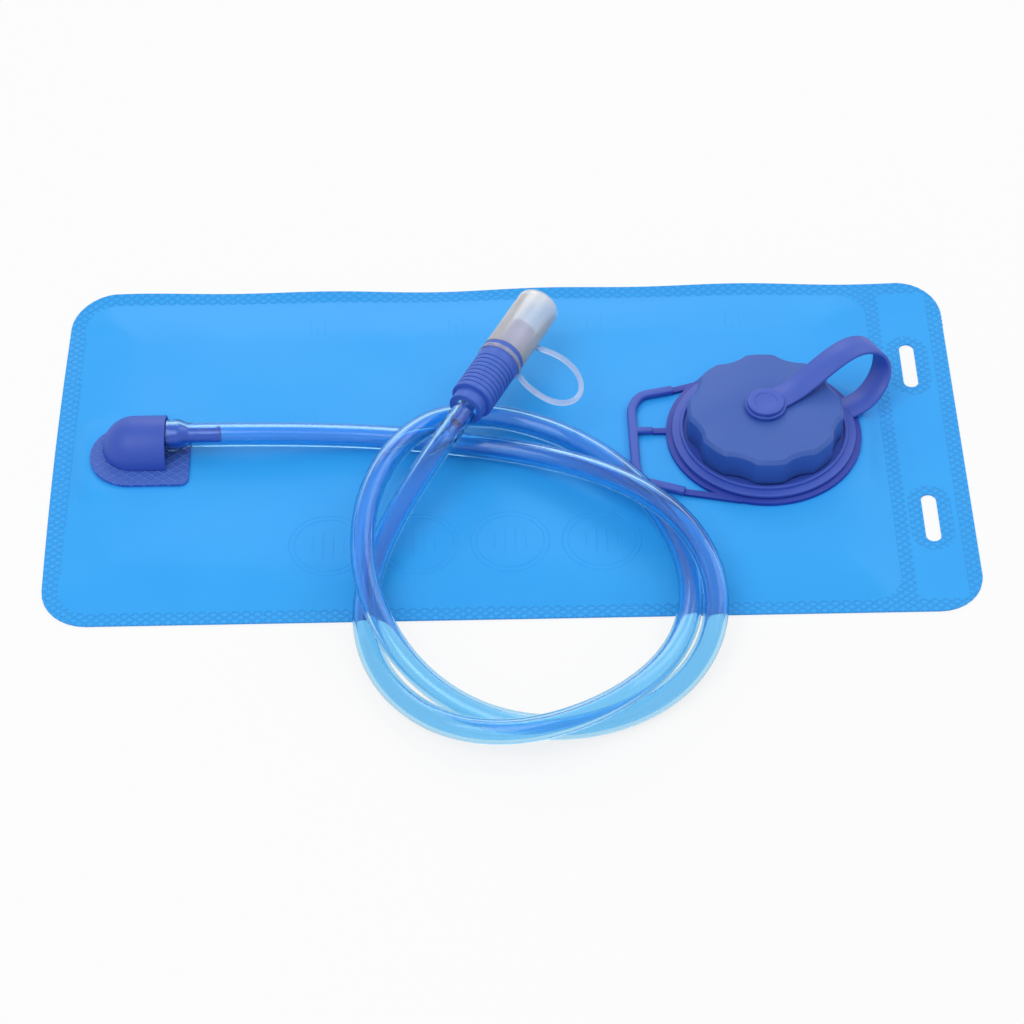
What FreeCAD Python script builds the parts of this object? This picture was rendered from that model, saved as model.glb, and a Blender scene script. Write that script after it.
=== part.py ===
"""Soft hydration bladder: welded film bag, screw fill port, hose port, drinking hose and bite valve.

Millimetres. The origin is on the floor under the middle of the bag; +X runs along the bag to its
hanging slots, +Y across it, +Z up. Every piece is written to parts/ as one STEP file.
"""
import FreeCAD, Part
import math
import os

V = FreeCAD.Vector
UP = V(0, 0, 1)

# ---- bag -------------------------------------------------------------------------------------
BAG_LENGTH = 360.0
BAG_WIDTH = 180.0
BAG_CORNER_R = 18.0
FILM = 0.5                 # thickness of each film
RIM_WELD = 6.0             # weld round the rim
PILLOW_SLOPE = 8.0         # width of the sloping zone inside the weld
PILLOW_HEIGHT = 5.3        # top of the front film over the floor
CHAMBER_CORNER_R = 12.0
TAB_LENGTH = 25.6          # flat hanging tab past the chamber seam
SEAM_WIDTH = 5.6           # weld between chamber and tab

# ---- hanging slots ---------------------------------------------------------------------------
SLOT_LENGTH = 25.0
SLOT_WIDTH = 6.0
SLOT_SPACING = 84.4
SLOT_INSET = 16.4          # slot centre to the bag's end

# ---- fill port -------------------------------------------------------------------------------
FILL_INSET = 79.0          # fill port axis to the bag's slotted end
NECK_BORE_R = 23.8
NECK_WALL = 2.4
NECK_HEIGHT = 12.3         # neck rim over the front film
FLANGE_R = 38.8
FLANGE_T = 1.5
FILM_HOLE_MARGIN = 4.0     # film's hole over the neck's bore, under the flange
SHOULDER_CLEARANCE = 0.2   # shoulder to the tether ring's bore
THREAD_PITCH = 4.5
THREAD_DEPTH = 1.4
THREAD_ROOT_T = 2.0        # axial thickness of a ridge at its root
THREAD_CREST_T = 0.8
THREAD_CLEARANCE = 0.4     # ridge crest to the facing wall
THREAD_TURNS = 1.3          # cap's inside thread
NECK_THREAD_TURNS = 1.75   # neck's outside thread
THREAD_EMBED = 0.4         # depth of a ridge's root in its wall
THREAD_START_GAP = 1.0     # lower end of the cap's thread over the cap's lower edge

# ---- grip bow --------------------------------------------------------------------------------
BOW_REACH = 52.1           # outer bar's centre line to the fill port axis
BOW_BAR_WIDTH = 3.6
BOW_BAR_HEIGHT = 2.4
BOW_FILM_GAP = 0.3
BOW_CROSSBAR_WIDTH = 2.8
STUB_WIDTH = 2.8
# places relative to the fill port axis
BOW_BACK_JOINT = (-35.0, 24.5)
BOW_FRONT_JOINT = (-33.0, -31.5)
BOW_MID_JOINT = (-44.0, 1.9)
BOW_BACK_CORNER = (-48.5, 21.5)
BOW_FRONT_CORNER = (-50.0, -25.5)
BOW_CORNER_R = 7.0
STUB_BACK_END = (-17.0, 30.0)
STUB_FRONT_END = (-11.0, -36.2)
STUB_MID_END = (-37.0, 1.9)

# ---- cap tether ------------------------------------------------------------------------------
TETHER_RING_OUTER_R = 36.5
TETHER_RING_BORE_R = 28.3
TETHER_RING_T = 1.5
TETHER_RING_LIP_R = 33.4
TETHER_RING_LIP_WIDTH = 1.5
TETHER_RING_LIP_HEIGHT = 1.3
TETHER_RING_GAP = 0.3      # loose on the flange
STRAP_WIDTH = 11.0
STRAP_T = 1.6
EYE_R = 8.2
EYE_CLEARANCE = 0.3
# strap stations: distance past the tether ring's edge, share of the climb from ring to eye, azimuth
STRAP_STATIONS = ((-1.5, 0.0, 18.0), (4.5, 0.011, 19.5), (10.5, 0.116, 22.0), (16.0, 0.384, 25.0),
                  (19.1, 0.757, 28.0), (18.1, 1.158, 30.5), (13.5, 1.454, 32.0), (7.0, 1.595, 33.0),
                  (-0.5, 1.567, 33.0), (-8.0, 1.398, 33.0), (-15.0, 1.2, 33.0), (-21.5, 1.045, 33.0),
                  (-27.5, 1.0, 33.0), (-30.5, 1.0, 33.0))

# ---- fill cap --------------------------------------------------------------------------------
CAP_R = 30.8
CAP_LOBES = 8
CAP_SCALLOP_R = 16.0
CAP_SCALLOP_DEPTH = 1.9
CAP_TOP_T = 2.0
CAP_EDGE_CHAMFER = 1.4
CAP_SKIRT_GAP = 0.8        # skirt's lower edge over the tether ring
GASKET_T = 1.4
GASKET_WIDTH = 4.6
GASKET_GAP = 0.1           # gasket to the neck rim
BUTTON_HEAD_R = 7.4
BUTTON_HEAD_T = 1.5
BUTTON_STEM_R = 4.6
BUTTON_PIN_R = 3.0
BUTTON_BARB_R = 3.9
BUTTON_BARB_T = 1.0
BUTTON_EYE_GAP = 0.15
BUTTON_GROOVE = 0.35       # depth of the round groove in the button's face
BUTTON_FACE_R = 4.6        # inner edge of the button's raised rim

# ---- hose port -------------------------------------------------------------------------------
PORT_INSET = 13.7          # plate's rounded end to the bag's end
PORT_Y = -2.6
PLATE_LENGTH = 39.7
PLATE_HALF_WIDTH = 16.6
PLATE_SHIFT = 3.4          # plate's middle in front of the port's axis
PLATE_CORNER_R = 3.5
PLATE_T = 1.5
COWL_INSET = 5.0           # cowl's rounded end from the plate's rounded end
COWL_R = 12.8
COWL_LENGTH = 25.6
COWL_WALL = 1.2
ELBOW_R = 4.2
ELBOW_BORE_R = 2.4
SOCKET_WALL = 2.0
SOCKET_HEIGHT = 2.6
SOCKET_CLEARANCE = 0.1
HOSE_AXIS_HEIGHT = 6.9     # hose axis over the plate
O_RING_R = 0.5

# ---- hose ------------------------------------------------------------------------------------
HOSE_OD = 9.5
HOSE_ID = 6.35
HOSE_BELL_R = 6.2          # stretched end over the connector
HOSE_BELL_LENGTH = 4.6
HOSE_BELL_TAPER = 3.6
HOSE_PORT_GAP = 0.5        # cowl face to the hose's end
SPIGOT_LENGTH = 12.8       # connector's spigot past the bell
SPIGOT_CLEARANCE = 0.05
ARC_SHARE = 0.45           # share of the shorter run that each bend takes
# the hose's route from the hose port to the mouthpiece
HOSE_ROUTE = (
    (-127.0, -2.6, 13.7), (-113.5, -2.6, 13.7), (-98.7, -2.3, 13.1), (-82.7, -1.9, 12.2),
    (-65.7, -1.9, 11.2), (-47.9, -2.8, 10.4), (-29.8, -4.9, 10.0), (-11.8, -8.4, 10.4),
    (5.7, -13.7, 11.8), (22.3, -21.3, 14.0), (37.5, -30.9, 16.7), (51.1, -42.3, 19.1),
    (62.4, -55.1, 20.2), (70.8, -68.8, 19.2), (75.7, -83.0, 16.4), (76.5, -97.2, 12.6),
    (73.1, -110.7, 9.1), (65.8, -123.1, 6.6), (55.1, -133.6, 5.2), (41.7, -141.5, 4.8),
    (26.3, -146.1, 4.8), (10.0, -146.9, 4.8), (-6.4, -143.5, 5.1), (-21.8, -135.8, 6.3),
    (-35.4, -124.3, 8.8), (-46.3, -109.6, 12.4), (-53.7, -92.3, 16.6), (-57.1, -73.5, 20.5),
    (-56.2, -54.2, 23.1), (-51.3, -35.6, 24.2), (-43.3, -19.2, 23.5), (-33.0, -6.0, 21.0),
    (-21.0, 2.6, 16.8), (-7.5, 6.0, 12.9), (6.9, 4.0, 10.7), (21.6, -2.9, 10.1),
    (35.8, -14.9, 11.0), (48.4, -30.2, 11.9), (58.7, -45.8, 10.5), (65.4, -63.9, 10.1),
    (67.8, -82.7, 10.3), (65.8, -100.9, 11.1), (59.3, -117.7, 12.5), (49.1, -132.0, 14.0),
    (36.0, -143.1, 14.7), (21.0, -150.5, 14.0), (5.2, -153.5, 12.0), (-10.4, -152.1, 9.4),
    (-24.9, -146.5, 7.1), (-37.3, -137.2, 5.5), (-47.1, -125.0, 4.8), (-53.6, -110.8, 4.8),
    (-56.4, -95.6, 5.9), (-55.4, -80.1, 8.7), (-50.8, -64.9, 13.6), (-43.2, -50.2, 19.7),
    (-34.0, -35.8, 25.5), (-24.9, -21.3, 29.0), (-17.1, -6.2, 29.0))

# ---- mouthpiece, along its own axis from the hose's end --------------------------------------
BARB_LENGTH = 9.0
BARB_RINGS = 3
STEM_BORE_R = 2.0
COLLAR_R = 7.0
COLLAR_LENGTH = 5.3
POST_R = 6.0
POST_LENGTH = 20.0
PLUG_R = 2.4
PLUG_GAP = 0.1             # plug's end to the bite tip's hole
SLEEVE_R = 8.6
SLEEVE_LENGTH = 27.7
SLEEVE_CLEARANCE = 0.1
RIB_PITCH = 2.3
RIB_COUNT = 8
RIB_GROOVE_WIDTH = 0.5
RIB_GROOVE_DEPTH = 0.4
RING_GROOVE_START = 23.3   # from the sleeve's lower end
RING_GROOVE_WIDTH = 1.8
RING_GROOVE_DEPTH = 0.7
TIP_SEAT_LENGTH = 2.6
NOZZLE_R = 5.4
NOZZLE_LENGTH = 8.0
TIP_R = 7.1
TIP_LENGTH = 13.5
TIP_END_T = 2.2
TIP_HOLE_R = 2.0
DUST_CAP_R = 8.9
DUST_CAP_WALL = 1.0
DUST_CAP_LENGTH = 33.0
DUST_CAP_EDGE_R = 2.4
DUST_CAP_CLEARANCE = 0.1
RING_PROUD = 0.6           # tether ring over the sleeve
TETHER_CORD_R = 1.1
# the dust cap's tether from the ring to the cap: along the mouthpiece, out to its right, rise
LOOP_POINTS = ((29.5, 8.1, -3.6), (26.4, 13.1, -4.3), (24.3, 18.9, -4.9), (23.1, 25.2, -5.3),
               (24.5, 30.6, -5.6), (28.0, 34.0, -5.7), (33.4, 34.2, -5.7), (39.0, 31.4, -5.6),
               (43.4, 26.8, -5.3), (46.0, 21.1, -4.8), (47.0, 15.0, -4.2), (46.3, 8.4, -3.6))

# ---- worked out ------------------------------------------------------------------------------
FILM_TOP = PILLOW_HEIGHT
CHAMBER_X0 = -BAG_LENGTH / 2 + RIM_WELD
CHAMBER_X1 = BAG_LENGTH / 2 - TAB_LENGTH - SEAM_WIDTH
CHAMBER_HALF_Y = BAG_WIDTH / 2 - RIM_WELD
FILL_X = BAG_LENGTH / 2 - FILL_INSET
NECK_R = NECK_BORE_R + NECK_WALL
NECK_TOP = FILM_TOP + NECK_HEIGHT
FLANGE_TOP = FILM_TOP + FLANGE_T
RING_Z = FLANGE_TOP + TETHER_RING_GAP
CAP_BORE_R = NECK_R + THREAD_DEPTH + THREAD_CLEARANCE
CAP_SKIRT_Z = RING_Z + TETHER_RING_T + CAP_SKIRT_GAP
GASKET_Z = NECK_TOP + GASKET_GAP
CAP_ROOF_Z = GASKET_Z + GASKET_T
CAP_TOP_Z = CAP_ROOF_Z + CAP_TOP_T
EYE_Z = CAP_TOP_Z + BUTTON_EYE_GAP
PLATE_X0 = -BAG_LENGTH / 2 + PORT_INSET
PLATE_TOP = FILM_TOP + PLATE_T
COWL_X0 = PLATE_X0 + COWL_INSET
COWL_FACE_X = COWL_X0 + COWL_LENGTH
ELBOW_X = COWL_X0 + COWL_R
HOSE_AXIS_Z = PLATE_TOP + HOSE_AXIS_HEIGHT
BELL_X0 = COWL_FACE_X + HOSE_PORT_GAP
HOSE_R = HOSE_OD / 2
HOSE_BORE_R = HOSE_ID / 2
SPIGOT_R = HOSE_BORE_R - SPIGOT_CLEARANCE
BELL_BORE_R = HOSE_BELL_R - (HOSE_R - HOSE_BORE_R)
SLEEVE_BORE_R = POST_R + SLEEVE_CLEARANCE
SLEEVE_S0 = COLLAR_LENGTH
SLEEVE_S1 = SLEEVE_S0 + SLEEVE_LENGTH
TIP_S0 = SLEEVE_S1 + TIP_SEAT_LENGTH
DUST_CAP_BORE_R = DUST_CAP_R - DUST_CAP_WALL
RING_R = SLEEVE_R + RING_PROUD


def rounded_rectangle(x0, x1, half_y, radius, z):
    """Wire of a rectangle with rounded corners, centred on y = 0, at height z."""
    edges = []
    corners = ((x1, half_y, 0.0), (x0, half_y, 90.0), (x0, -half_y, 180.0), (x1, -half_y, 270.0))
    starts = []
    for cx, cy, start in corners:
        centre = V(cx - math.copysign(radius, cx - (x0 + x1) / 2), cy - math.copysign(radius, cy), z)
        points = [centre + V(radius * math.cos(math.radians(start + turn)),
                             radius * math.sin(math.radians(start + turn)), 0)
                  for turn in (0.0, 45.0, 90.0)]
        starts.append(points)
    for index, points in enumerate(starts):
        edges.append(Part.Arc(*points).toShape())
        edges.append(Part.LineSegment(points[2], starts[(index + 1) % 4][0]).toShape())
    return Part.Wire(edges)


def plate(wire, thickness):
    """Solid of a flat closed wire, raised by a thickness."""
    return Part.Face(wire).extrude(V(0, 0, thickness))


def revolved(points):
    """Solid of revolution about the Z axis from (radius, height) points."""
    corners = [V(radius, 0, height) for radius, height in points]
    return Part.Face(Part.makePolygon(corners + corners[:1])).revolve(V(0, 0, 0), UP, 360)


def ring(outer_r, inner_r, z0, z1):
    """Plain ring about the Z axis."""
    return revolved(((inner_r, z0), (outer_r, z0), (outer_r, z1), (inner_r, z1)))


def at_fill_port(shape):
    """Copy of a shape moved to the fill port's axis."""
    return shape.translated(V(FILL_X, 0, 0))


def mouthpiece_axis():
    """Direction of the mouthpiece: the hose's last run goes on through it."""
    return (V(*HOSE_ROUTE[-1]) - V(*HOSE_ROUTE[-2])).normalize()


def at_mouthpiece(shape):
    """Copy of a shape made along +Z, laid along the mouthpiece's axis from the hose's end."""
    placement = FreeCAD.Placement(V(*HOSE_ROUTE[-1]), FreeCAD.Rotation(UP, mouthpiece_axis()))
    return shape.transformed(placement.toMatrix(), True)


def bent_path(points):
    """Wire of straight runs joined by tangent arcs, with the radius of each arc."""
    corners = [V(*point) for point in points]
    runs = [corners[i + 1].distanceToPoint(corners[i]) for i in range(len(corners) - 1)]
    edges = []
    radii = []
    last = corners[0]
    for i in range(1, len(corners) - 1):
        back = (corners[i - 1] - corners[i]).normalize()
        ahead = (corners[i + 1] - corners[i]).normalize()
        half_turn = (math.pi - back.getAngle(ahead)) / 2
        reach = ARC_SHARE * min(runs[i - 1], runs[i])
        radius = reach / math.tan(half_turn)
        inward = (back + ahead).normalize()
        start = corners[i] + back * reach
        end = corners[i] + ahead * reach
        middle = corners[i] + inward * (radius / math.cos(half_turn) - radius)
        edges.append(Part.LineSegment(last, start).toShape())
        edges.append(Part.Arc(start, middle, end).toShape())
        radii.append(radius)
        last = end
    edges.append(Part.LineSegment(last, corners[-1]).toShape())
    return Part.Wire(edges), radii


def swept_round(path, points, radius):
    """Round bar of a radius along a path that starts along its first run."""
    start = V(*points[0])
    heading = V(*points[1]) - start
    profile = Part.Wire([Part.makeCircle(radius, start, heading)])
    return path.makePipeShell([profile], True, False)


def slot_tool(y, z0, z1):
    """Cutter of one hanging slot, long across the bag."""
    x = BAG_LENGTH / 2 - SLOT_INSET
    radius = SLOT_WIDTH / 2
    straight = SLOT_LENGTH - SLOT_WIDTH
    tool = Part.makeBox(SLOT_WIDTH, straight, z1 - z0, V(x - radius, y - straight / 2, z0))
    for end in (-1, 1):
        tool = tool.fuse(Part.makeCylinder(radius, z1 - z0, V(x, y + end * straight / 2, z0)))
    return tool


def cut_slots(film, z0, z1):
    """Film with both hanging slots cut."""
    for side in (-1, 1):
        film = film.cut(slot_tool(side * SLOT_SPACING / 2, z0, z1))
    return film


def bag_outline(z):
    """Outline of the whole bag at height z."""
    return rounded_rectangle(-BAG_LENGTH / 2, BAG_LENGTH / 2, BAG_WIDTH / 2, BAG_CORNER_R, z)


def pillow(z_low, z_high):
    """Raised zone of the chamber between two heights."""
    low = rounded_rectangle(CHAMBER_X0, CHAMBER_X1, CHAMBER_HALF_Y, CHAMBER_CORNER_R, z_low)
    high = rounded_rectangle(CHAMBER_X0 + PILLOW_SLOPE, CHAMBER_X1 - PILLOW_SLOPE,
                             CHAMBER_HALF_Y - PILLOW_SLOPE, CHAMBER_CORNER_R - PILLOW_SLOPE, z_high)
    return Part.makeLoft([low, high], True, True)


def back_film():
    """Flat bottom film."""
    return cut_slots(plate(bag_outline(0), FILM), -FILM, 2 * FILM)


def beyond_seam(z0, z1):
    """Block over the hanging tab, past the seam, between two heights."""
    return Part.makeBox(TAB_LENGTH, BAG_WIDTH, z1 - z0, V(BAG_LENGTH / 2 - TAB_LENGTH, -BAG_WIDTH / 2, z0))


def hanging_tab():
    """Front layer of the tab past the seam, with both hanging slots."""
    tab = plate(bag_outline(FILM), FILM).common(beyond_seam(FILM, 2 * FILM))
    return cut_slots(tab, 0, 3 * FILM)


def front_film():
    """Top film up to the seam, raised over the chamber, with the fill and hose port holes."""
    rim = plate(bag_outline(FILM), FILM).cut(beyond_seam(FILM, 2 * FILM))
    film = rim.fuse(pillow(2 * FILM, FILM_TOP)).cut(pillow(FILM, FILM_TOP - FILM))
    fill_hole_r = NECK_BORE_R + FILM_HOLE_MARGIN
    film = film.cut(Part.makeCylinder(fill_hole_r, FILM_TOP, V(FILL_X, 0, 2 * FILM)))
    return film.cut(Part.makeCylinder(ELBOW_BORE_R, FILM_TOP, V(ELBOW_X, PORT_Y, 2 * FILM)))


def helical_ridge(root_r, crest_r, z0, turns):
    """Right-handed thread ridge about the Z axis, with its root sunk into its wall."""
    outward = math.copysign(1.0, crest_r - root_r)
    base_r = root_r - outward * THREAD_EMBED
    helix = Part.makeHelix(THREAD_PITCH, THREAD_PITCH * turns, base_r)
    half_root = THREAD_ROOT_T / 2
    half_crest = THREAD_CREST_T / 2
    profile = Part.makePolygon([V(base_r, 0, -half_root), V(crest_r, 0, -half_crest),
                                V(crest_r, 0, half_crest), V(base_r, 0, half_root),
                                V(base_r, 0, -half_root)])
    ridge = Part.Wire(helix.Edges).makePipeShell([profile], True, True)
    return ridge.translated(V(0, 0, z0))


def flat_bar(start, end, width, z0, z1):
    """Straight flat bar between two plan points given from the fill port axis."""
    a = V(start[0], start[1], 0)
    b = V(end[0], end[1], 0)
    side = (b - a).cross(UP).normalize() * (width / 2)
    base = V(0, 0, z0)
    wire = Part.makePolygon([a + side + base, b + side + base, b - side + base, a - side + base,
                             a + side + base])
    return plate(wire, z1 - z0)


def stub_z():
    """Lower and upper height of the stubs that carry the grip bow."""
    return FILM_TOP + BOW_FILM_GAP, FLANGE_TOP


def fill_neck():
    """Weld flange, threaded neck, shoulder for the tether ring and three stubs for the bow."""
    neck = ring(FLANGE_R, NECK_BORE_R, FILM_TOP, FLANGE_TOP)
    neck = neck.fuse(ring(NECK_R, NECK_BORE_R, FLANGE_TOP, NECK_TOP))
    shoulder_r = TETHER_RING_BORE_R - SHOULDER_CLEARANCE
    neck = neck.fuse(ring(shoulder_r, NECK_BORE_R, FLANGE_TOP, RING_Z + TETHER_RING_T))
    for joint, end in ((BOW_BACK_JOINT, STUB_BACK_END), (BOW_FRONT_JOINT, STUB_FRONT_END),
                       (BOW_MID_JOINT, STUB_MID_END)):
        neck = neck.fuse(flat_bar(joint, end, STUB_WIDTH, *stub_z()))
    start = CAP_SKIRT_Z + THREAD_START_GAP - THREAD_PITCH / 2
    thread = helical_ridge(NECK_R, NECK_R + THREAD_DEPTH, start, NECK_THREAD_TURNS)
    return at_fill_port(neck.fuse(thread).removeSplitter())


def bow_path():
    """Centre line of the grip bow's outer bar as a wire, and its points."""
    z = FILM_TOP + BOW_FILM_GAP + BOW_BAR_HEIGHT / 2
    plan = (BOW_BACK_JOINT, BOW_BACK_CORNER, (-BOW_REACH, BOW_BACK_CORNER[1] - BOW_CORNER_R),
            (-BOW_REACH + 0.5, BOW_FRONT_CORNER[1] + BOW_CORNER_R), BOW_FRONT_CORNER,
            BOW_FRONT_JOINT)
    points = [(x, y, z) for x, y in plan]
    return bent_path(points)[0], points


def grip_bow():
    """D-shaped handle: outer bar and crossbar, meeting the neck's stubs end to end."""
    path, points = bow_path()
    start = V(*points[0])
    heading = (V(*points[1]) - start).normalize()
    side = heading.cross(UP).normalize() * (BOW_BAR_WIDTH / 2)
    rise = V(0, 0, BOW_BAR_HEIGHT / 2)
    profile = Part.makePolygon([start + side + rise, start - side + rise, start - side - rise,
                                start + side - rise, start + side + rise])
    bar = path.makePipeShell([profile], True, True)
    z0 = FILM_TOP + BOW_FILM_GAP
    crossbar = flat_bar((-BOW_REACH + 0.5, BOW_MID_JOINT[1]), BOW_MID_JOINT, BOW_CROSSBAR_WIDTH,
                        z0, z0 + BOW_BAR_HEIGHT)
    return at_fill_port(bar.fuse(crossbar).removeSplitter())


def strap_section(index):
    """Rectangle across the strap at one station."""
    points = []
    low = RING_Z + TETHER_RING_T / 2
    climb = EYE_Z + STRAP_T / 2 - low
    for past_edge, share, azimuth in STRAP_STATIONS:
        angle = math.radians(azimuth)
        reach = TETHER_RING_OUTER_R + past_edge
        points.append(V(reach * math.cos(angle), reach * math.sin(angle), low + share * climb))
    before = points[max(index - 1, 0)]
    after = points[min(index + 1, len(points) - 1)]
    tangent = (after - before).normalize()
    angle = math.radians(STRAP_STATIONS[index][2])
    across = V(-math.sin(angle), math.cos(angle), 0)
    across = (across - tangent * across.dot(tangent)).normalize()
    normal = tangent.cross(across)
    side = across * (STRAP_WIDTH / 2)
    half = normal * (STRAP_T / 2)
    centre = points[index]
    return Part.makePolygon([centre + side + half, centre - side + half, centre - side - half,
                             centre + side - half, centre + side + half])


def cap_tether():
    """Ring on the neck, strap and eye, moulded as one piece."""
    ring_top = RING_Z + TETHER_RING_T
    lip_inner = TETHER_RING_LIP_R - TETHER_RING_LIP_WIDTH
    body = ring(TETHER_RING_OUTER_R, TETHER_RING_BORE_R, RING_Z, ring_top)
    body = body.fuse(ring(TETHER_RING_LIP_R, lip_inner, RING_Z, ring_top + TETHER_RING_LIP_HEIGHT))
    sections = [strap_section(index) for index in range(len(STRAP_STATIONS))]
    body = body.fuse(Part.makeLoft(sections, True, True))
    eye_hole = BUTTON_STEM_R + EYE_CLEARANCE
    body = body.fuse(ring(EYE_R, eye_hole, EYE_Z, EYE_Z + STRAP_T))
    clear = Part.makeCylinder(eye_hole, 4 * STRAP_T, V(0, 0, EYE_Z - STRAP_T))
    return at_fill_port(body.cut(clear))


def cap_outline():
    """Lobed prism of the cap's outside with its chamfered top edge."""
    height = CAP_TOP_Z - CAP_SKIRT_Z
    base = CAP_SKIRT_Z
    body = revolved(((0, base), (CAP_R, base), (CAP_R, base + height - CAP_EDGE_CHAMFER),
                     (CAP_R - CAP_EDGE_CHAMFER, base + height), (0, base + height)))
    centre_r = CAP_R + CAP_SCALLOP_R - CAP_SCALLOP_DEPTH
    for index in range(CAP_LOBES):
        angle = 2 * math.pi * (index + 0.5) / CAP_LOBES - math.pi / 2
        place = V(centre_r * math.cos(angle), centre_r * math.sin(angle), base - 1)
        body = body.cut(Part.makeCylinder(CAP_SCALLOP_R, height + 2, place))
        flare = V(place.x, place.y, CAP_TOP_Z - CAP_EDGE_CHAMFER)
        body = body.cut(Part.makeCone(CAP_SCALLOP_R, CAP_SCALLOP_R + CAP_EDGE_CHAMFER, CAP_EDGE_CHAMFER,
                                      flare))
    return body


def fill_cap():
    """Screw cap with eight lobes, an inside thread and a hole for the tether's button."""
    bore = Part.makeCylinder(CAP_BORE_R, CAP_ROOF_Z - CAP_SKIRT_Z, V(0, 0, CAP_SKIRT_Z))
    hole = Part.makeCylinder(BUTTON_PIN_R, 2 * CAP_TOP_T, V(0, 0, CAP_ROOF_Z - 0.5 * CAP_TOP_T))
    cap = cap_outline().cut(bore).cut(hole)
    start = CAP_SKIRT_Z + THREAD_START_GAP
    thread = helical_ridge(CAP_BORE_R, CAP_BORE_R - THREAD_DEPTH, start, THREAD_TURNS)
    return at_fill_port(cap.fuse(thread))


def cap_gasket():
    """Flat seal under the cap's roof, over the neck's rim."""
    outer = CAP_BORE_R - THREAD_CLEARANCE
    return at_fill_port(ring(outer, outer - GASKET_WIDTH, GASKET_Z, CAP_ROOF_Z))


def tether_button():
    """Riveted button that holds the tether's eye on the cap."""
    head_z = EYE_Z + STRAP_T + BUTTON_EYE_GAP
    under = CAP_ROOF_Z - BUTTON_BARB_T
    groove = BUTTON_GROOVE
    profile = ((0, under), (BUTTON_BARB_R - 0.6, under), (BUTTON_BARB_R, CAP_ROOF_Z),
               (BUTTON_PIN_R, CAP_ROOF_Z), (BUTTON_PIN_R, CAP_TOP_Z), (BUTTON_STEM_R, CAP_TOP_Z),
               (BUTTON_STEM_R, head_z), (BUTTON_HEAD_R, head_z),
               (BUTTON_HEAD_R, head_z + BUTTON_HEAD_T - groove),
               (BUTTON_HEAD_R - groove, head_z + BUTTON_HEAD_T),
               (BUTTON_FACE_R, head_z + BUTTON_HEAD_T),
               (BUTTON_FACE_R - groove, head_z + BUTTON_HEAD_T - groove),
               (0, head_z + BUTTON_HEAD_T - groove))
    return at_fill_port(revolved(profile))


def plate_outline():
    """D-shaped outline of the hose port's plate: a half round end and a flat end."""
    radius = PLATE_HALF_WIDTH
    x1 = PLATE_X0 + PLATE_LENGTH
    middle_y = PORT_Y - PLATE_SHIFT
    centre = V(PLATE_X0 + radius, middle_y, FILM_TOP)
    corner = PLATE_CORNER_R
    cut = corner * (1 - math.cos(math.radians(45)))
    back = [centre + V(0, radius, 0), centre + V(0, -radius, 0)]
    front = V(x1 - corner, middle_y - radius, FILM_TOP)
    rear = V(x1 - corner, middle_y + radius, FILM_TOP)
    edges = [Part.Arc(back[0], centre + V(-radius, 0, 0), back[1]).toShape(),
             Part.LineSegment(back[1], front).toShape(),
             Part.Arc(front, V(x1 - cut, middle_y - radius + cut, FILM_TOP),
                      front + V(corner, corner, 0)).toShape(),
             Part.LineSegment(front + V(corner, corner, 0), rear + V(corner, -corner, 0)).toShape(),
             Part.Arc(rear + V(corner, -corner, 0), V(x1 - cut, middle_y + radius - cut, FILM_TOP),
                      rear).toShape(),
             Part.LineSegment(rear, back[0]).toShape()]
    return Part.Wire(edges)


def port_plate():
    """Weld plate of the hose port with a raised socket for the connector."""
    socket_bore = ELBOW_R + SOCKET_CLEARANCE
    at_elbow = V(ELBOW_X, PORT_Y, 0)
    body = plate(plate_outline(), PLATE_T)
    body = body.fuse(Part.makeCylinder(socket_bore + SOCKET_WALL, SOCKET_HEIGHT + PLATE_T,
                                       at_elbow + V(0, 0, FILM_TOP)))
    body = body.cut(Part.makeCylinder(ELBOW_BORE_R, 2 * PLATE_T, at_elbow + V(0, 0, FILM_TOP - 1)))
    return body.cut(Part.makeCylinder(socket_bore, SOCKET_HEIGHT + 1,
                                      at_elbow + V(0, 0, PLATE_TOP)))


def cowl_shape(radius, face_x):
    """Half tunnel with a quarter-round closed end, standing on the plate."""
    centre = V(ELBOW_X, PORT_Y, PLATE_TOP)
    shape = Part.makeSphere(radius, centre)
    shape = shape.fuse(Part.makeCylinder(radius, face_x - ELBOW_X, centre, V(1, 0, 0)))
    upper = Part.makeBox(4 * radius, 4 * radius, 2 * radius, centre - V(2 * radius, 2 * radius, 0))
    front = Part.makeBox(4 * radius, 4 * radius, 4 * radius,
                         V(face_x, PORT_Y - 2 * radius, PLATE_TOP - radius))
    return shape.common(upper).cut(front)


def port_cowl():
    """Hood over the connector, open towards the hose."""
    outer = cowl_shape(COWL_R, COWL_FACE_X)
    return outer.cut(cowl_shape(COWL_R - COWL_WALL, COWL_FACE_X + COWL_WALL))


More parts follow.
